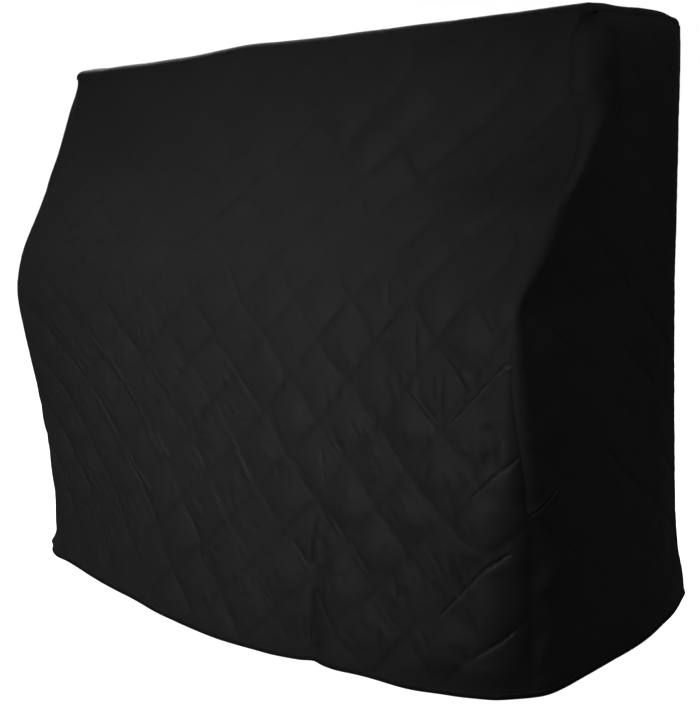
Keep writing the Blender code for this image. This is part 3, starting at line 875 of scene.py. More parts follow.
def quilted_cloth(name, pitch_x, pitch_v, dark, light, groove, groove_width, highlight_gain=2.1):
    """Black twill over wadding, with the sewn lines and their stitches."""
    k = Nodes(name)
    fall, rise, _ = k.split(k.uv("lines"))
    u, v, _ = k.split(k.uv("cloth"))
    show = k.tree.nodes.new("ShaderNodeAttribute")
    show.attribute_name = "show"
    show_fall, show_rise, show_pads = k.split(show.outputs["Vector"])
    across = pitch_x * pitch_v / math.hypot(pitch_x, pitch_v)
    run = math.hypot(pitch_x, pitch_v) / 2

    def line(coordinate, other, strength, width):
        away = k.math("ABSOLUTE", k.math("SUBTRACT", k.math("FRACT", k.math("ADD", coordinate, 0.5)), 0.5))
        away = k.math("MULTIPLY", away, across)
        narrow = k.math("MULTIPLY", away, away)
        trough = k.math("EXPONENT", k.math("MULTIPLY", narrow, -1 / width**2))
        thread = k.math("EXPONENT", k.math("MULTIPLY", narrow, -1 / 0.0007**2))
        dash = k.math("FRACT", k.math("MULTIPLY", other, run / 0.0036))
        dash = k.math("LESS_THAN", k.math("ABSOLUTE", k.math("SUBTRACT", dash, 0.5)), 0.34)
        stitch = k.math("MULTIPLY", thread, dash)
        return k.math("MULTIPLY", trough, strength), stitch, narrow

    trough_a, stitch_a, near_a = line(fall, rise, show_fall, groove_width)
    trough_b, stitch_b, near_b = line(rise, fall, show_rise, 0.0062)
    crossing_shade = k.math("EXPONENT", k.math("MULTIPLY", k.math("ADD", near_a, near_b), -1 / 0.0065**2))
    trough = k.math("MAXIMUM", trough_a, trough_b)
    stitch = k.math("MAXIMUM", stitch_a, stitch_b)
    sewn_height = k.math("SUBTRACT", k.math("MULTIPLY", stitch, 0.25), trough)

    # the weave: a fine twill, 0.9 mm to the rib, with loose fibre over it
    rib = k.math("SINE", k.math("MULTIPLY", k.math("ADD", u, k.math("MULTIPLY", v, 0.55)), 2 * math.pi / 0.0016))
    pick = k.math("SINE", k.math("MULTIPLY", k.math("SUBTRACT", v, k.math("MULTIPLY", u, 0.15)), 2 * math.pi / 0.0011))
    weave = k.math("ADD", k.math("MULTIPLY", rib, 0.5), k.math("MULTIPLY", pick, 0.3))
    cloth = k.uv("cloth")
    fibre = k.noise(cloth, 900.0, 2.0, 0.6)
    crumple = k.noise(cloth, 26.0, 4.0, 0.55)
    crumple = k.math("MULTIPLY", crumple, k.math("ADD", k.math("MULTIPLY", show_pads, 0.9), 0.3))
    crease = k.tree.nodes.new("ShaderNodeAttribute")
    crease.attribute_name = "crease"
    off, high, skew = k.split(crease.outputs["Vector"])
    jag = k.noise(cloth, 120.0, 2.0, 0.5)
    off = k.math("ADD", off, k.math("MULTIPLY", k.math("SUBTRACT", jag, 0.5), 1.6))
    crease = k.math("EXPONENT", k.math("MULTIPLY", k.math("MULTIPLY", off, off), -1.0))
    crease = k.math("MULTIPLY", crease, k.math("ADD", k.math("MULTIPLY", off, skew), 1.0))
    crease = k.math("MULTIPLY", k.math("MULTIPLY", crease, high), k.ramp(jag, 0.25, 0.55, 0.55, 1.15))
    normal = k.bump(crease, 0.001, 1.0)
    normal = k.bump(crumple, 0.0034, 0.7, normal)
    normal = k.bump(sewn_height, 0.0016, 0.9, normal)
    normal = k.bump(k.math("ADD", weave, k.math("MULTIPLY", fibre, 1.4)), 0.00012, 0.5, normal)

    patchy = k.noise(cloth, 5.0, 3.0, 0.5)
    tone = k.ramp(patchy, 0.3, 0.7, 0.0, 1.0)
    tone = k.math("ADD", k.math("MULTIPLY", tone, 0.6), k.math("MULTIPLY", fibre, 0.4))
    colour = k.mix(tone, (*dark, 1), (*light, 1))
    # painted shade: the sewn grooves (as strong as groove for the falling lines) and the points where the lines cross
    # are painted darker, towards deep, standing in for the shade that falls into them
    deep = (dark[0] * 0.5, dark[1] * 0.5, dark[2] * 0.5, 1)
    colour = k.mix(k.math("MULTIPLY", trough_a, groove), colour, deep)
    colour = k.mix(k.math("MULTIPLY", trough_b, 0.85), colour, deep)
    colour = k.mix(k.math("MULTIPLY", crossing_shade, k.math("MULTIPLY", show_pads, 0.30)), colour, deep)
    colour = k.mix(k.math("MULTIPLY", stitch, 0.35), colour, (light[0] * 1.1, light[1] * 1.1, light[2] * 1.1, 1))
    # painted highlight: the top of a sharp step is painted lighter, standing in for the light it catches
    crest_highlight = k.math("MULTIPLY", k.math("ADD", off, 0.8), 1.6)
    crest_highlight = k.math("EXPONENT", k.math("MULTIPLY", k.math("MULTIPLY", crest_highlight, crest_highlight), -1.0))
    crest_highlight = k.math("MULTIPLY", k.math("MULTIPLY", crest_highlight, skew), k.math("MULTIPLY", high, -0.35))
    crest_highlight = k.math("MINIMUM", k.math("MAXIMUM", crest_highlight, 0.0), 0.9)
    colour = k.mix(crest_highlight, colour, (light[0] * highlight_gain, light[1] * highlight_gain, light[2] * highlight_gain, 1))
    k.put(k.shader.inputs["Base Color"], colour)
    k.put(k.shader.inputs["Roughness"], k.ramp(fibre, 0.2, 0.8, 0.55, 0.70))
    k.put(k.shader.inputs["Normal"], normal)
    k.shader.inputs["Specular IOR Level"].default_value = 0.09
    k.shader.inputs["Sheen Weight"].default_value = 0.0
    k.shader.inputs["Sheen Roughness"].default_value = 0.45
    return k.material


def tape_cloth(name):
    """The binding: a plain-woven tape with fine cross ribs and an edge stitch."""
    k = Nodes(name)
    u, v, _ = k.split(k.uv("cloth"))
    rib = k.math("SINE", k.math("MULTIPLY", u, 2 * math.pi / 0.0013))
    cloth = k.uv("cloth")
    fibre = k.noise(cloth, 1200.0, 2.0, 0.6)
    waver = k.noise(cloth, 60.0, 3.0, 0.5)
    dash = k.math("LESS_THAN", k.math("ABSOLUTE", k.math("SUBTRACT", k.math("FRACT", k.math("MULTIPLY", u, 1 / 0.0042)), 0.5)), 0.33)
    off = k.math("SUBTRACT", v, 0.0022)
    thread = k.math("EXPONENT", k.math("MULTIPLY", k.math("MULTIPLY", off, off), -1 / 0.0005**2))
    stitch = k.math("MULTIPLY", thread, dash)
    height = k.math("ADD", k.math("MULTIPLY", rib, 0.4), k.math("ADD", k.math("MULTIPLY", fibre, 0.8), k.math("MULTIPLY", thread, -2.0)))
    normal = k.bump(waver, 0.0030, 0.7)
    normal = k.bump(height, 0.00025, 0.7, normal)
    colour = k.mix(k.ramp(waver, 0.35, 0.65, 0.0, 1.0), (0.0018, 0.0018, 0.0018, 1), (0.0036, 0.0036, 0.0036, 1))
    # painted highlight: the top of the tape, where the rolled binding catches the light, is painted lighter
    painted_top_light = k.math("EXPONENT", k.math("MULTIPLY", k.math("MULTIPLY", v, v), -1 / 0.0046**2))
    colour = k.mix(k.math("MULTIPLY", painted_top_light, 0.9), colour, (0.0185, 0.0185, 0.0185, 1))
    colour = k.mix(k.math("MULTIPLY", stitch, 0.6), colour, (0.026, 0.026, 0.026, 1))
    k.put(k.shader.inputs["Base Color"], colour)
    k.put(k.shader.inputs["Roughness"], k.ramp(fibre, 0.2, 0.8, 0.5, 0.7))
    k.put(k.shader.inputs["Normal"], normal)
    k.shader.inputs["Specular IOR Level"].default_value = 0.07
    return k.material


DARK, LIGHT = (0.0068, 0.0068, 0.0068), (0.0090, 0.0090, 0.0091)
# both cloths paint shade into their sewn grooves and a highlight on top of sharp steps; the ends paint that highlight
# brighter
front_cloth = quilted_cloth("quilted_cloth", PITCH_X, PITCH_V, DARK, LIGHT, 0.55, 0.0036)
end_cloth = quilted_cloth("quilted_cloth_ends", END_PITCH_Y, END_PITCH_V, DARK, LIGHT, 0.38, 0.0062, highlight_gain=3.6)
tape = tape_cloth("binding_tape")


# ------------------------------------------------------------ the front
def build_front():
    flat = steps(-1, 1, 286)
    turn = steps(0, 1, 8)
    share = joined(-2 + turn, flat, 1 + turn)
    z = wall_heights(248)
    S, Z = np.meshgrid(share, z, indexing="ij")
    base = front_point(S, Z)
    normal = normals_of(base)
    radius, seam = corner(Z, S)
    x = np.clip(S, -1, 1) * (WIDTH / 2 - radius)
    over = np.clip(np.abs(S) - 1, 0, 1)
    x = x + np.sign(S) * over * seam * math.pi / 2 * radius
    # the cloth as cut and quilted, before its right end hangs back
    v = run_along(front_point(S, Z, 0.0), 1)
    lean = PITCH_X / PITCH_V
    plain_x, plain_v = x, v
    x = TAKE_UP_AT[0] + TAKE_UP * (x - TAKE_UP_AT[0])
    v = TAKE_UP_AT[1] + TAKE_UP * (v - TAKE_UP_AT[1])
    wob = 0.042 * lattice_noise((x / 0.075 + 3, v / 0.075 + 2), 11)
    wob2 = 0.036 * lattice_noise((x / 0.075 + 8, v / 0.075 + 5), 12)
    X, V = np.clip(x / 0.7, -1.1, 1.1), np.clip((v - LINE_V) / 0.4, -0.6, 1.0)
    k = FALL_STRAY
    stray = k[0] + k[1] * X + k[2] * V + k[3] * X * X + k[4] * X * V + k[5] * V * V
    stray = stray + k[6] * X**3 + k[7] * X * X * V + k[8] * X * V * V + k[9] * V**3
    a = (x - lean * (v - LINE_V) - FALL_X) / PITCH_X - stray + wob
    X, k = np.clip(X, -0.4, 1.1), RISE_STRAY
    stray = k[0] + k[1] * X + k[2] * V + k[3] * X * X + k[4] * X * V + k[5] * V * V
    b = (x + lean * (v - LINE_V) - RISE_X) / PITCH_X - stray + wob2
    across = PITCH_V / math.hypot(PITCH_X, PITCH_V) * PITCH_X

    pad_v = smooth_curve(SHOW_V, 1)(v)
    line_v = smooth_curve(SHOW_V, 2)(v)
    fall = smooth_curve(SHOW_X, 1)(x) * line_v
    rise = smooth_curve(SHOW_X, 2)(x) * line_v
    tint_v = np.interp(v, (0.0, 0.10, 0.25, 0.50, 0.62, 0.80, 1.30), (0.3, 0.4, 1.0, 1.0, 0.8, 0.7, 0.6))
    line_slope = ease((0.62 - v) / 0.15)
    tint_x = np.interp(x, (-0.76, -0.50, -0.20, 0.10, 0.50, 0.76), (0.15, 0.30, 0.60, 0.90, 1.0, 0.8))
    off_a = (a - np.round(a)) * across            # above a falling line
    off_b = -(b - np.round(b)) * across           # above a rising line
    groove_a, patch_a = side_groove(a, b, across, 21, least=0.08, uneven=2.4)
    groove_b, patch_b = side_groove(b, a, across, 25, peak=0.5, reach=0.012)
    broken = lattice_noise((x / 0.034, v / 0.034), 61) - lattice_noise((x / 0.014, v / 0.014), 62) * 0.4
    broken = 1 - line_slope * (1 - ease((broken + 0.20) / 0.5))
    faint = 1 - 0.25 * line_slope

    quilt = ease((x - 0.05) / 0.35)
    relief = pads(a, b, 31, 1.0, vary=0.8, tilt=1.4, full=1.2 + 0.4 * quilt) * (0.0028 + 0.0028 * quilt)
    relief = (relief - 0.0008) * pad_v
    rolled = np.maximum(ease((x - 0.32) / 0.25), 0.8 * ease((v - 0.95) / 0.15) * ease((x + 0.1) / 0.3))
    left_side = ease((-0.15 - x) / 0.35) * (1 - line_slope)
    relief = relief - (0.0038 + 0.0014 * left_side - 0.0018 * quilt) * groove_a * fall * (1 - 0.5 * line_slope)
    relief = relief - (0.0016 - 0.0004 * rolled) * groove_b * rise
    relief = relief + sewn(off_a, 0.0007, 0.0045, 0.0001) * fall * patch_a * faint
    relief = relief + sewn(off_b, 0.0007, 0.0045, 0.0001) * rise * (0.3 + 0.7 * patch_b)
    node = np.exp(-((off_a / 0.011) ** 2) - (off_b / 0.011) ** 2)
    relief = relief - 0.0012 * node * line_v
    relief = relief + wrinkles(x, v, 35, 620)
    creases = Creases(x.shape)
    for family, number, low, high, hard, shift in PUCKERS:
        if family == "fall":
            off = (a - number) * across - shift / 1000
        else:
            off = -(b - number) * across - shift / 1000
        near = np.abs(off) < 0.035
        relief[near] += pucker(off[near], v[near], low, high, hard / 1000) * (1 - 0.35 * quilt[near])
        creases.add(off + 0.002, (v - low) * 1.2, (high - low) * 1.2, 0.38 * hard, 0.0030)
    for start, stop, wide, tall in FRONT_PULLS:
        near = np.hypot(plain_x - (start[0] + stop[0]) / 2, plain_v - (start[1] + stop[1]) / 2) < 0.13
        relief[near] += pull(plain_x[near], plain_v[near], start, stop, wide / 1000, 1.25 * tall / 1000)
        if wide <= 6 and start[1] > 0.5:
            creases.add_run(plain_x, plain_v, start, stop, 0.50 * tall, 0.0028)
    for start, stop, tall in SHARP_STEPS:
        low = ((start[0] + 0.004, start[1] + 0.004), (stop[0] + 0.004, stop[1] + 0.004))
        relief = relief - pull(plain_x, plain_v, start, stop, 0.0045, 0.8 * tall / 1000)
        relief = relief + pull(plain_x, plain_v, *low, 0.0060, 0.7 * tall / 1000)
        # the step's skew also makes the material paint a highlight on its top
        creases.add_run(plain_x, plain_v, start, stop, -0.30 * tall, 0.0030, 3.5)
    relief = relief + unevenness(x, v, 41, 0.0022) * ease(v / 0.25)
    mottled = 0.0014 * lattice_noise((x / 0.034 + 5, v / 0.034), 63)
    mottled = mottled + 0.0009 * lattice_noise((x / 0.015, v / 0.015 + 5), 64)
    relief = relief + mottled * line_slope * ease((x + 0.55) / 0.3)
    x, v = plain_x, plain_v

    edge_u = run_along(base, 0)
    left, right = edge_u, edge_u[-1:] - edge_u
    hem = v[:, -1:] - v
    hold = ease(left / 0.03) * ease(right / 0.03) * ease(v / 0.03) * (0.35 + 0.65 * ease(hem / 0.05))
    relief = relief * hold
    low_front = ease((0.62 - Z) / 0.26) * ease(hem / 0.06)
    relief = relief + turned(right, 0.013, 0.080) * low_front
    drawn = 0.0004 + 0.0011 * between(Z, 0.35, 0.43, 0.05) + 0.0011 * between(Z, 0.89, 1.02, 0.06)
    relief = relief + seam_dip(left, v, 51, 0.0004) + seam_dip(right, v, 52, drawn)
    relief = relief + seam_dip(v, edge_u, 53, 0.0002)
    relief = relief + seam_dip(hem, edge_u, 54, 0.0006)

    outer = base + normal * relief[..., None]
    inner = inside_of(base, normal, relief)
    # the show layer sets, for each family, how deep the material sinks the sewn lines and how dark it paints their
    # shade, and how much the pads show
    made = cloth_mesh(
        "cover_front", outer, inner,
        np.stack([x, v], -1), np.stack([a, b], -1),
        np.stack([
            (fall * (patch_a + 0.3 * left_side) + tint_v * (0.3 * line_slope + 0.7 * quilt * (0.3 + 0.7 * patch_a))) * faint * broken,
            tint_v * tint_x * (0.45 + 0.55 * patch_b) * (0.12 + 0.95 * broken), pad_v,
        ], -1), front_cloth,
        creases,
    )
    return made, base


# ------------------------------------------------------------ the ends
# Ridges and troughs in the right end: from and to, as the distance from the
# front seam and the height, with half the width and the height of each in mm.
END_PULLS = (
    ((0.010, 0.342), (0.075, 0.370), 4.5, 3.4),
    ((0.012, 0.331), (0.080, 0.358), 5.0, -1.6),
    ((0.037, 0.308), (0.072, 0.299), 4.0, 1.6),
    ((0.000, 0.287), (0.042, 0.274), 6.0, -2.2),
    ((0.020, 0.190), (0.066, 0.236), 16.0, 5.0),
    ((0.022, 0.050), (0.034, 0.105), 12.0, 4.0),
    ((0.025, 1.060), (0.075, 1.086), 5.5, -2.6),
    ((0.004, 0.995), (0.006, 0.959), 4.5, 2.0),
    ((0.004, 0.942), (0.007, 0.904), 4.5, 2.2),
    ((0.012, 0.883), (0.024, 0.850), 4.5, 1.2),
    ((0.030, 1.150), (0.050, 1.100), 9.0, 1.6),
    ((0.090, 1.040), (0.075, 0.990), 8.0, -1.8),
)


def build_end(side):
    first = steps(0, 1, 10)
    share = joined(-1 + first, steps(0, 1, 106), 1 + steps(0, 1, 4))
    z = wall_heights(232)
    S, Z = np.meshgrid(share, z, indexing="ij")
    base = end_point(S, Z, side)
    normal = normals_of(base) * side
    y = base[..., 1] - (FRONT_Y - LID_MID_Y)
    v = run_along(base, 1)
    # straight down from the lid, so that the lines aren't bent by the front's slope
    down = -base[..., 2]
    lean = END_PITCH_Y / END_PITCH_V
    wob = 0.05 * lattice_noise((y / 0.11 + 3, v / 0.12 + 2), 61 + side)
    a = (y - lean * (down - LINE_V) - END_FALL_Y) / END_PITCH_Y + wob
    b = (y + lean * (down - LINE_V) - END_RISE_Y) / END_PITCH_Y + wob
    across = END_PITCH_V / math.hypot(END_PITCH_Y, END_PITCH_V) * END_PITCH_Y
    off_a = (a - np.round(a)) * across
    off_b = -(b - np.round(b)) * across
    show = 0.35 + 0.65 * ease((down - 0.30) / 0.35)
    groove_a, patch_a = side_groove(a, b, across, 262 + side, peak=0.5)
    patch_b = 0.25 * side_groove(b, a, across, 265 + side, peak=0.5)[1]

    relief = (pads(a, b, 71 + side, 0.0015, full=1.2) - 0.0010 * groove_a) * show
    relief = relief + sewn(off_a, 0.0010, 0.0062, 0.0002) * show * patch_a
    relief = relief + sewn(off_b, 0.0008, 0.0062, 0.0001) * show * patch_b
    relief = relief + unevenness(y, down, 81 + side, 0.0034)
    edge_u = run_along(base, 0)
    front, back = edge_u, edge_u[-1:] - edge_u
    hem = v[:, -1:] - v
    hold = ease(front / 0.03) * ease(back / 0.03) * ease(v / 0.03) * (0.35 + 0.65 * ease(hem / 0.05))
    relief = relief * hold
    high = between(Z, 0.90, 1.16, 0.12)
    relief = relief + turned(front, 0.0095, 0.070) * high
    if side > 0:
        relief = relief + turned(front, 0.0055, 0.105) * between(Z, 1.04, 1.18, 0.08)
    relief = relief - turned(front, 0.0040, 0.020) * between(Z, 0.02, 0.32, 0.06)
    relief = relief + turned(v, 0.008, 0.050) * ease(front / 0.05) * ease(back / 0.05)
    creases = Creases(front.shape)
    if side > 0:
        for start, stop, wide, tall in END_PULLS:
            relief = relief + pull(front, Z, start, stop, wide / 1000, tall / 1000)
        # this step's skew also makes the material paint a highlight on its top
        creases.add_run(front, Z, (0.080, 0.370), (0.008, 0.336), -1.1, 0.0036, 3.5)
    relief = relief + turned(front, 0.008, 0.060) * between(Z, 0.45, 0.64, 0.10)
    drawn = 0.0004 + 0.0011 * between(Z, 0.35, 0.43, 0.05) + 0.0011 * between(Z, 0.89, 1.02, 0.06)
    relief = relief + seam_dip(front, v, 91 + side, drawn) + seam_dip(back, v, 92 + side, 0.0005)
    relief = relief + seam_dip(v, edge_u, 93 + side, 0.0004)
    relief = relief + seam_dip(hem, edge_u, 94 + side, 0.0006)

    outer = base + normal * relief[..., None]
    inner = inside_of(base, normal, relief)
    name = "cover_end_right" if side > 0 else "cover_end_left"
    made = cloth_mesh(
        name, outer, inner,
        np.stack([y, down], -1), np.stack([a, b], -1),
        np.stack([show * patch_a, show * patch_b, show], -1), end_cloth,
        creases,
    )
    return made


# ------------------------------------------------------------ the back
def build_back():
    share = joined(-2 + steps(0, 1, 4), steps(-1, 1, 200), 1 + steps(0, 1, 4))
    z = wall_heights(160)
    S, Z = np.meshgrid(share, z, indexing="ij")
    base = back_point(S, Z)
    normal = -normals_of(base)
    x, v = -base[..., 0], run_along(base, 1)
    lean = PITCH_X / PITCH_V
    a = (x - lean * (v - LINE_V) - FALL_X) / PITCH_X + 0.03 * lattice_noise((x / 0.16, v / 0.16), 101)
    b = (x + lean * (v - LINE_V) - RISE_X) / PITCH_X + 0.03 * lattice_noise((x / 0.17, v / 0.15), 102)
    across = PITCH_V / math.hypot(PITCH_X, PITCH_V) * PITCH_X
    off_a = (a - np.round(a)) * across
    off_b = -(b - np.round(b)) * across
    show = 0.6 + 0.3 * ease(v / 0.6)
    patch = 0.75 + 0.4 * lattice_noise((a, b), 103)
    relief = pads(a, b, 111, 0.0022) * show
    relief = relief + sewn(off_a, 0.0010, 0.0070, 0.0005) * show * patch
    relief = relief + sewn(off_b, 0.0010, 0.0070, 0.0005) * show * patch
    relief = relief + unevenness(x, v, 121, 0.0022)
    edge_u = run_along(base, 0)
    left, right = edge_u, edge_u[-1:] - edge_u
    hem = v[:, -1:] - v
    hold = ease(left / 0.03) * ease(right / 0.03) * ease(v / 0.03) * (0.35 + 0.65 * ease(hem / 0.05))
    relief = relief * hold
    relief = relief + seam_dip(left, v, 131, 0.0005) + seam_dip(right, v, 132, 0.0005)
    relief = relief + seam_dip(v, edge_u, 133, 0.0004) + seam_dip(hem, edge_u, 134, 0.0006)
    outer = base + normal * relief[..., None]
    inner = inside_of(base, normal, relief)
    return cloth_mesh(
        "cover_back", outer, inner,
        np.stack([x, v], -1), np.stack([a, b], -1),
        np.stack([show * patch, show * patch, show], -1), front_cloth,
    )


# ------------------------------------------------------------ the top
def build_top():
    """The lid's rectangle. A square grid is pulled so that its border rings
    round down the edges and the corners turn like a rounded box."""
    nx, ny = even(280), even(72)
    low = math.pi / 2 - TOP_GAP / 2 / TOP_ROUND
    arc = TOP_ROUND * low
    half_x, half_y = WIDTH / 2 - TOP_ROUND, TOP_DEPTH / 2 - TOP_ROUND
    rings = max(4, int(round(6 * FINE)))

    def axis(half, count):
        flat = np.linspace(-half, half, count - 2 * rings + 1)
        edge = np.linspace(0, arc, rings + 1)[1:]
        return np.concatenate([-half - edge[::-1], flat, half + edge])

    U, W = np.meshgrid(axis(half_x, nx), axis(half_y, ny), indexing="ij")
    ox, oy = np.clip(np.abs(U) - half_x, 0, None), np.clip(np.abs(W) - half_y, 0, None)
    ring = np.maximum(ox, oy)
    fall = ring / TOP_ROUND
    reach = TOP_ROUND * np.sin(fall)
    with np.errstate(divide="ignore", invalid="ignore"):
        turn = np.where(ox >= oy, oy / (2 * ring), 1 - ox / (2 * ring))
    turn = np.where((ox > 0) & (oy > 0), turn, np.where(oy > 0, 1.0, 0.0))
    angle = np.nan_to_num(turn) * math.pi / 2
    x = np.clip(U, -half_x, half_x) + np.sign(U) * reach * np.cos(angle) * (ring > 0)
    y = np.clip(W, -half_y, half_y) + np.sign(W) * reach * np.sin(angle) * (ring > 0)
    z = HEIGHT - TOP_ROUND * (1 - np.cos(fall))
    base = drape(x, y + (LID_Y + BACK_Y) / 2, z)
    normal = normals_of(base[:, ::-1])[:, ::-1]
    u, v = U, W
    lean = PITCH_X / PITCH_V
    a = (u - lean * v - FALL_X) / PITCH_X + 0.03 * lattice_noise((u / 0.16 + 9, v / 0.16 + 9), 141)
    b = (u + lean * v - RISE_X) / PITCH_X + 0.03 * lattice_noise((u / 0.17 + 9, v / 0.15 + 9), 142)
    across = PITCH_V / math.hypot(PITCH_X, PITCH_V) * PITCH_X
    off_a = (a - np.round(a)) * across
    off_b = -(b - np.round(b)) * across
    show = np.full_like(u, 0.6)
    patch = 0.8 + 0.3 * lattice_noise((a, b), 143)
    border = np.minimum(half_x + arc - np.abs(U), half_y + arc - np.abs(W))
    relief = pads(a, b, 151, 0.0022) * show
    relief = relief + (sewn(off_a, 0.0010, 0.0062, 0.0003) + sewn(off_b, 0.0010, 0.0062, 0.0003)) * show * patch
    relief = relief * ease((border - 0.004) / 0.05)
    relief = relief + seam_dip(border, np.where(ox > oy, W, U) + 2, 153, 0.0003)
    outer = base + normal * relief[..., None]
    inner = inside_of(base, normal, relief)
    return cloth_mesh(
        "cover_top", outer, inner,
        np.stack([u, v], -1), np.stack([a, b], -1),
        np.stack([show * patch, show * patch, show], -1), front_cloth,
    )


# ------------------------------------------------------------ the binding
def build_binding():
    """The tape folded round the hem: one closed ring with a soft section."""
    z = BIND_H - GAP / 3
    runs = (
        (lambda s, h: front_point(s, h), joined(-2 + steps(0, 1, 8), steps(-1, 1, 280), 1 + steps(0, 1, 8)), False),
        (lambda s, h: end_point(s, h, 1), joined(-1 + steps(0, 1, 4), steps(0, 1, 110), 1 + steps(0, 1, 4)), False),
        (lambda s, h: back_point(s, h), joined(-2 + steps(0, 1, 4), steps(-1, 1, 150), 1 + steps(0, 1, 4)), True),
        (lambda s, h: end_point(s, h, -1), joined(-1 + steps(0, 1, 4), steps(0, 1, 110), 1 + steps(0, 1, 4)), True),
    )
    tops, unders = [], []
    for place, share, turned in runs:
        share = share[::-1] if turned else share
        tops.append(place(share, np.full_like(share, z)))
        unders.append(place(share, np.full_like(share, z - 0.010)))
    top, under = np.concatenate(tops), np.concatenate(unders)
    keep = [0]
    for k in range(1, len(top)):
        if np.linalg.norm(top[k] - top[keep[-1]]) > 0.002:
            keep.append(k)
    while np.linalg.norm(top[keep[-1]] - top[keep[0]]) < 0.002:
        keep.pop()
    top, under = top[keep], under[keep]
    along = np.roll(top, -1, 0) - np.roll(top, 1, 0)
    along /= np.linalg.norm(along, axis=1, keepdims=True)
    down = under - top
    down /= np.linalg.norm(down, axis=1, keepdims=True)
    out = np.cross(down, along)
    out /= np.linalg.norm(out, axis=1, keepdims=True)
    run = np.concatenate([[0], np.cumsum(np.linalg.norm(np.diff(top, axis=0), axis=1))])
    half, high = BIND_T / 2, BIND_H - GAP / 3
    plump = 1 + 0.10 * lattice_noise((run / 0.03, run * 0), 161) + 0.07 * lattice_noise((run / 0.011, run * 0), 162)
    dip = 0.0005 * lattice_noise((run / 0.05, run * 0 + 4), 163)
    section = (
        # out    down   (shares of half the thickness and of the height)
        (-0.45, 0.000),
        (0.45, 0.000),
        (0.74, 0.045),
        (0.82, 0.130),
        (0.72, 0.190),
        (0.86, 0.270),
        (1.00, 0.450),
        (1.00, 0.650),
        (0.86, 0.840),
        (0.50, 0.965),
        (0.00, 1.000),
        (-0.50, 0.965),
        (-0.86, 0.840),
        (-1.00, 0.650),
        (-1.00, 0.450),
        (-0.86, 0.270),
        (-0.72, 0.190),
        (-0.82, 0.130),
        (-0.74, 0.045),
    )
    middle = top - out * CLOTH / 2
    rings = []
    for o, d in section:
        rings.append(
            middle
            + out * (o * half * np.where(abs(o) > 0.5, plump, 1.0))[:, None]
            + down * (d * high + (dip if d > 0.3 else 0 * dip))[:, None]
        )
    grid = np.stack(rings, 1)
    count, sides = grid.shape[:2]
    index = np.arange(count * sides).reshape(count, sides)
    faces = []
    for k in range(count):
        a, b = index[k], index[(k + 1) % count]
        for m in range(sides):
            n = (m + 1) % sides
            faces.append((int(a[m]), int(a[n]), int(b[n]), int(b[m])))
    mesh = bpy.data.meshes.new("cover_binding")
    mesh.from_pydata(grid.reshape(-1, 3).tolist(), [], faces)
    mesh.validate()
    around = np.concatenate([[0], np.cumsum(np.linalg.norm(np.diff(grid[0], axis=0), axis=1))])
    uv = mesh.uv_layers.new(name="cloth")
    verts = np.empty(len(mesh.loops), np.int32)
    mesh.loops.foreach_get("vertex_index", verts)
    values = np.stack(np.meshgrid(run, around, indexing="ij"), -1).reshape(-1, 2)
    uv.data.foreach_set("uv", values[verts].astype(np.float32).ravel())
    mesh.shade_smooth()
    mesh.materials.append(tape)
    made = bpy.data.objects.new("cover_binding", mesh)
    bpy.context.scene.collection.objects.link(made)
    return made


front, front_base = build_front()
right_end, left_end = build_end(1), build_end(-1)
back = build_back()
top = build_top()
bound = build_binding()

for piece, node, slot in (
    (front, "front_panel", "quilted_cloth"),
    (right_end, "end_panel_right", "quilted_cloth"),
    (left_end, "end_panel_left", "quilted_cloth"),
    (back, "back_panel", "quilted_cloth"),
    (top, "top_panel", "quilted_cloth"),
    (bound, "hem_binding", "binding_tape"),
):
    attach(piece, "root")
    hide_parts(node)


# ------------------------------------------------------------ floor, light, camera
FLOOR_Z = -1.285
room = bpy.data.materials.new("floor_paint")
room.use_nodes = True
paint = room.node_tree.nodes["Principled BSDF"]
paint.inputs["Base Color"].default_value = (0.45, 0.45, 0.45, 1)
paint.inputs["Roughness"].default_value = 0.9
paint.inputs["Specular IOR Level"].default_value = 0.0
paint.inputs["Emission Color"].default_value = (1, 1, 1, 1)
paint.inputs["Emission Strength"].default_value = 1.0


def build_floor():
    mesh = bpy.data.meshes.new("floor")
    reach = 14.0
    mesh.from_pydata(
        [(-reach, -reach, FLOOR_Z), (reach, -reach, FLOOR_Z), (reach, reach, FLOOR_Z), (-reach, reach, FLOOR_Z)],
        [], [(0, 1, 2, 3)],
    )
    mesh.materials.append(room)
    made = bpy.data.objects.new("floor", mesh)
    made.visible_diffuse = made.visible_glossy = False
    bpy.context.scene.collection.objects.link(made)
    return made


build_floor()


def area_light(name, at, aim, size, power, size_y=None, spread=180):
    data = bpy.data.lights.new(name, "AREA")
    data.spread = math.radians(spread)
    data.shape = "RECTANGLE"
    data.size, data.size_y = size, size_y or size
    data.energy = power
    made = bpy.data.objects.new(name, data)
    made.location = at
    made.rotation_euler = (Vector(aim) - Vector(at)).to_track_quat("-Z", "Y").to_euler()
    made.visible_camera = False
    bpy.context.scene.collection.objects.link(made)
    return made


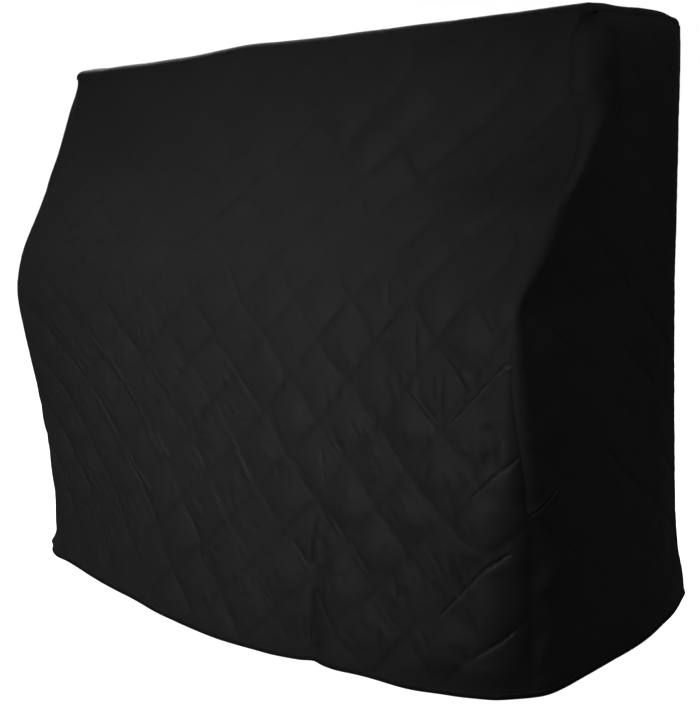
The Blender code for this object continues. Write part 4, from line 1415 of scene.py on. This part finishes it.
area_light("key", (0.70, -2.6, 1.5), (-0.5, -0.42, -0.9), 0.5, 9.5, spread=50)
area_light("front_fill", (-0.4, -4.5, -0.6), (-0.1, -0.3, -0.8), 0.8, 8.6, spread=60)
area_light("right_fill", (0.9, -4.0, -0.3), (0.45, -0.3, -0.6), 0.6, 1.1, spread=24)
area_light("end_fill", (2.6, -0.5, 2.3), (0.8, 0.0, -0.6), 1.2, 29)
area_light("left_fill", (-2.7, 0.9, 1.6), (-0.8, 0.1, -0.6), 1.2, 45)
area_light("rear", (-1.5, 2.2, 1.4), (-0.1, 0.2, -0.7), 1.2, 130)

world = bpy.data.worlds.new("room")
bpy.context.scene.world = world
world.use_nodes = True
sky = world.node_tree
sky.nodes["Background"].inputs["Color"].default_value = (1, 1, 1, 1)
sky.nodes["Background"].inputs["Strength"].default_value = 1.0
path = sky.nodes.new("ShaderNodeLightPath")
level = sky.nodes.new("ShaderNodeMapRange")
level.inputs["To Min"].default_value = 0.11
level.inputs["To Max"].default_value = 1.0
sky.links.new(path.outputs["Is Camera Ray"], level.inputs["Value"])
sky.links.new(level.outputs[0], sky.nodes["Background"].inputs["Strength"])

bpy.context.scene.view_settings.view_transform = "Standard"
bpy.context.scene.view_settings.look = "None"

YAW, PITCH, ROLL = -0.7212, -0.1627, -0.0367
FOCAL_PX, CENTRE_X, CENTRE_Y = 1085.49, 351.54, 331.62
FRAME_W, FRAME_H = 700, 709
forward = Vector((math.sin(YAW) * math.cos(PITCH), math.cos(YAW) * math.cos(PITCH), math.sin(PITCH)))
sideways = Vector((math.cos(YAW), -math.sin(YAW), 0.0))
upward = sideways.cross(forward)
right_axis = sideways * math.cos(ROLL) + upward * math.sin(ROLL)
up_axis = -sideways * math.sin(ROLL) + upward * math.cos(ROLL)
lens = bpy.data.cameras.new("camera")
lens.sensor_fit = "AUTO"
lens.sensor_width = 36.0
lens.lens = FOCAL_PX / FRAME_H * 36.0
lens.shift_x = -(CENTRE_X - FRAME_W / 2) / FRAME_H
lens.shift_y = (CENTRE_Y - FRAME_H / 2) / FRAME_H
lens.clip_end = 60
camera = bpy.data.objects.new("camera", lens)
turn = Matrix((right_axis, up_axis, -forward)).transposed()
camera.matrix_world = Matrix.Translation((1.7357, -1.8379 - LID_MID_Y, 0.969 - (HEIGHT + CROWN - CLOTH))) @ turn.to_4x4()
bpy.context.scene.collection.objects.link(camera)
bpy.context.scene.camera = camera
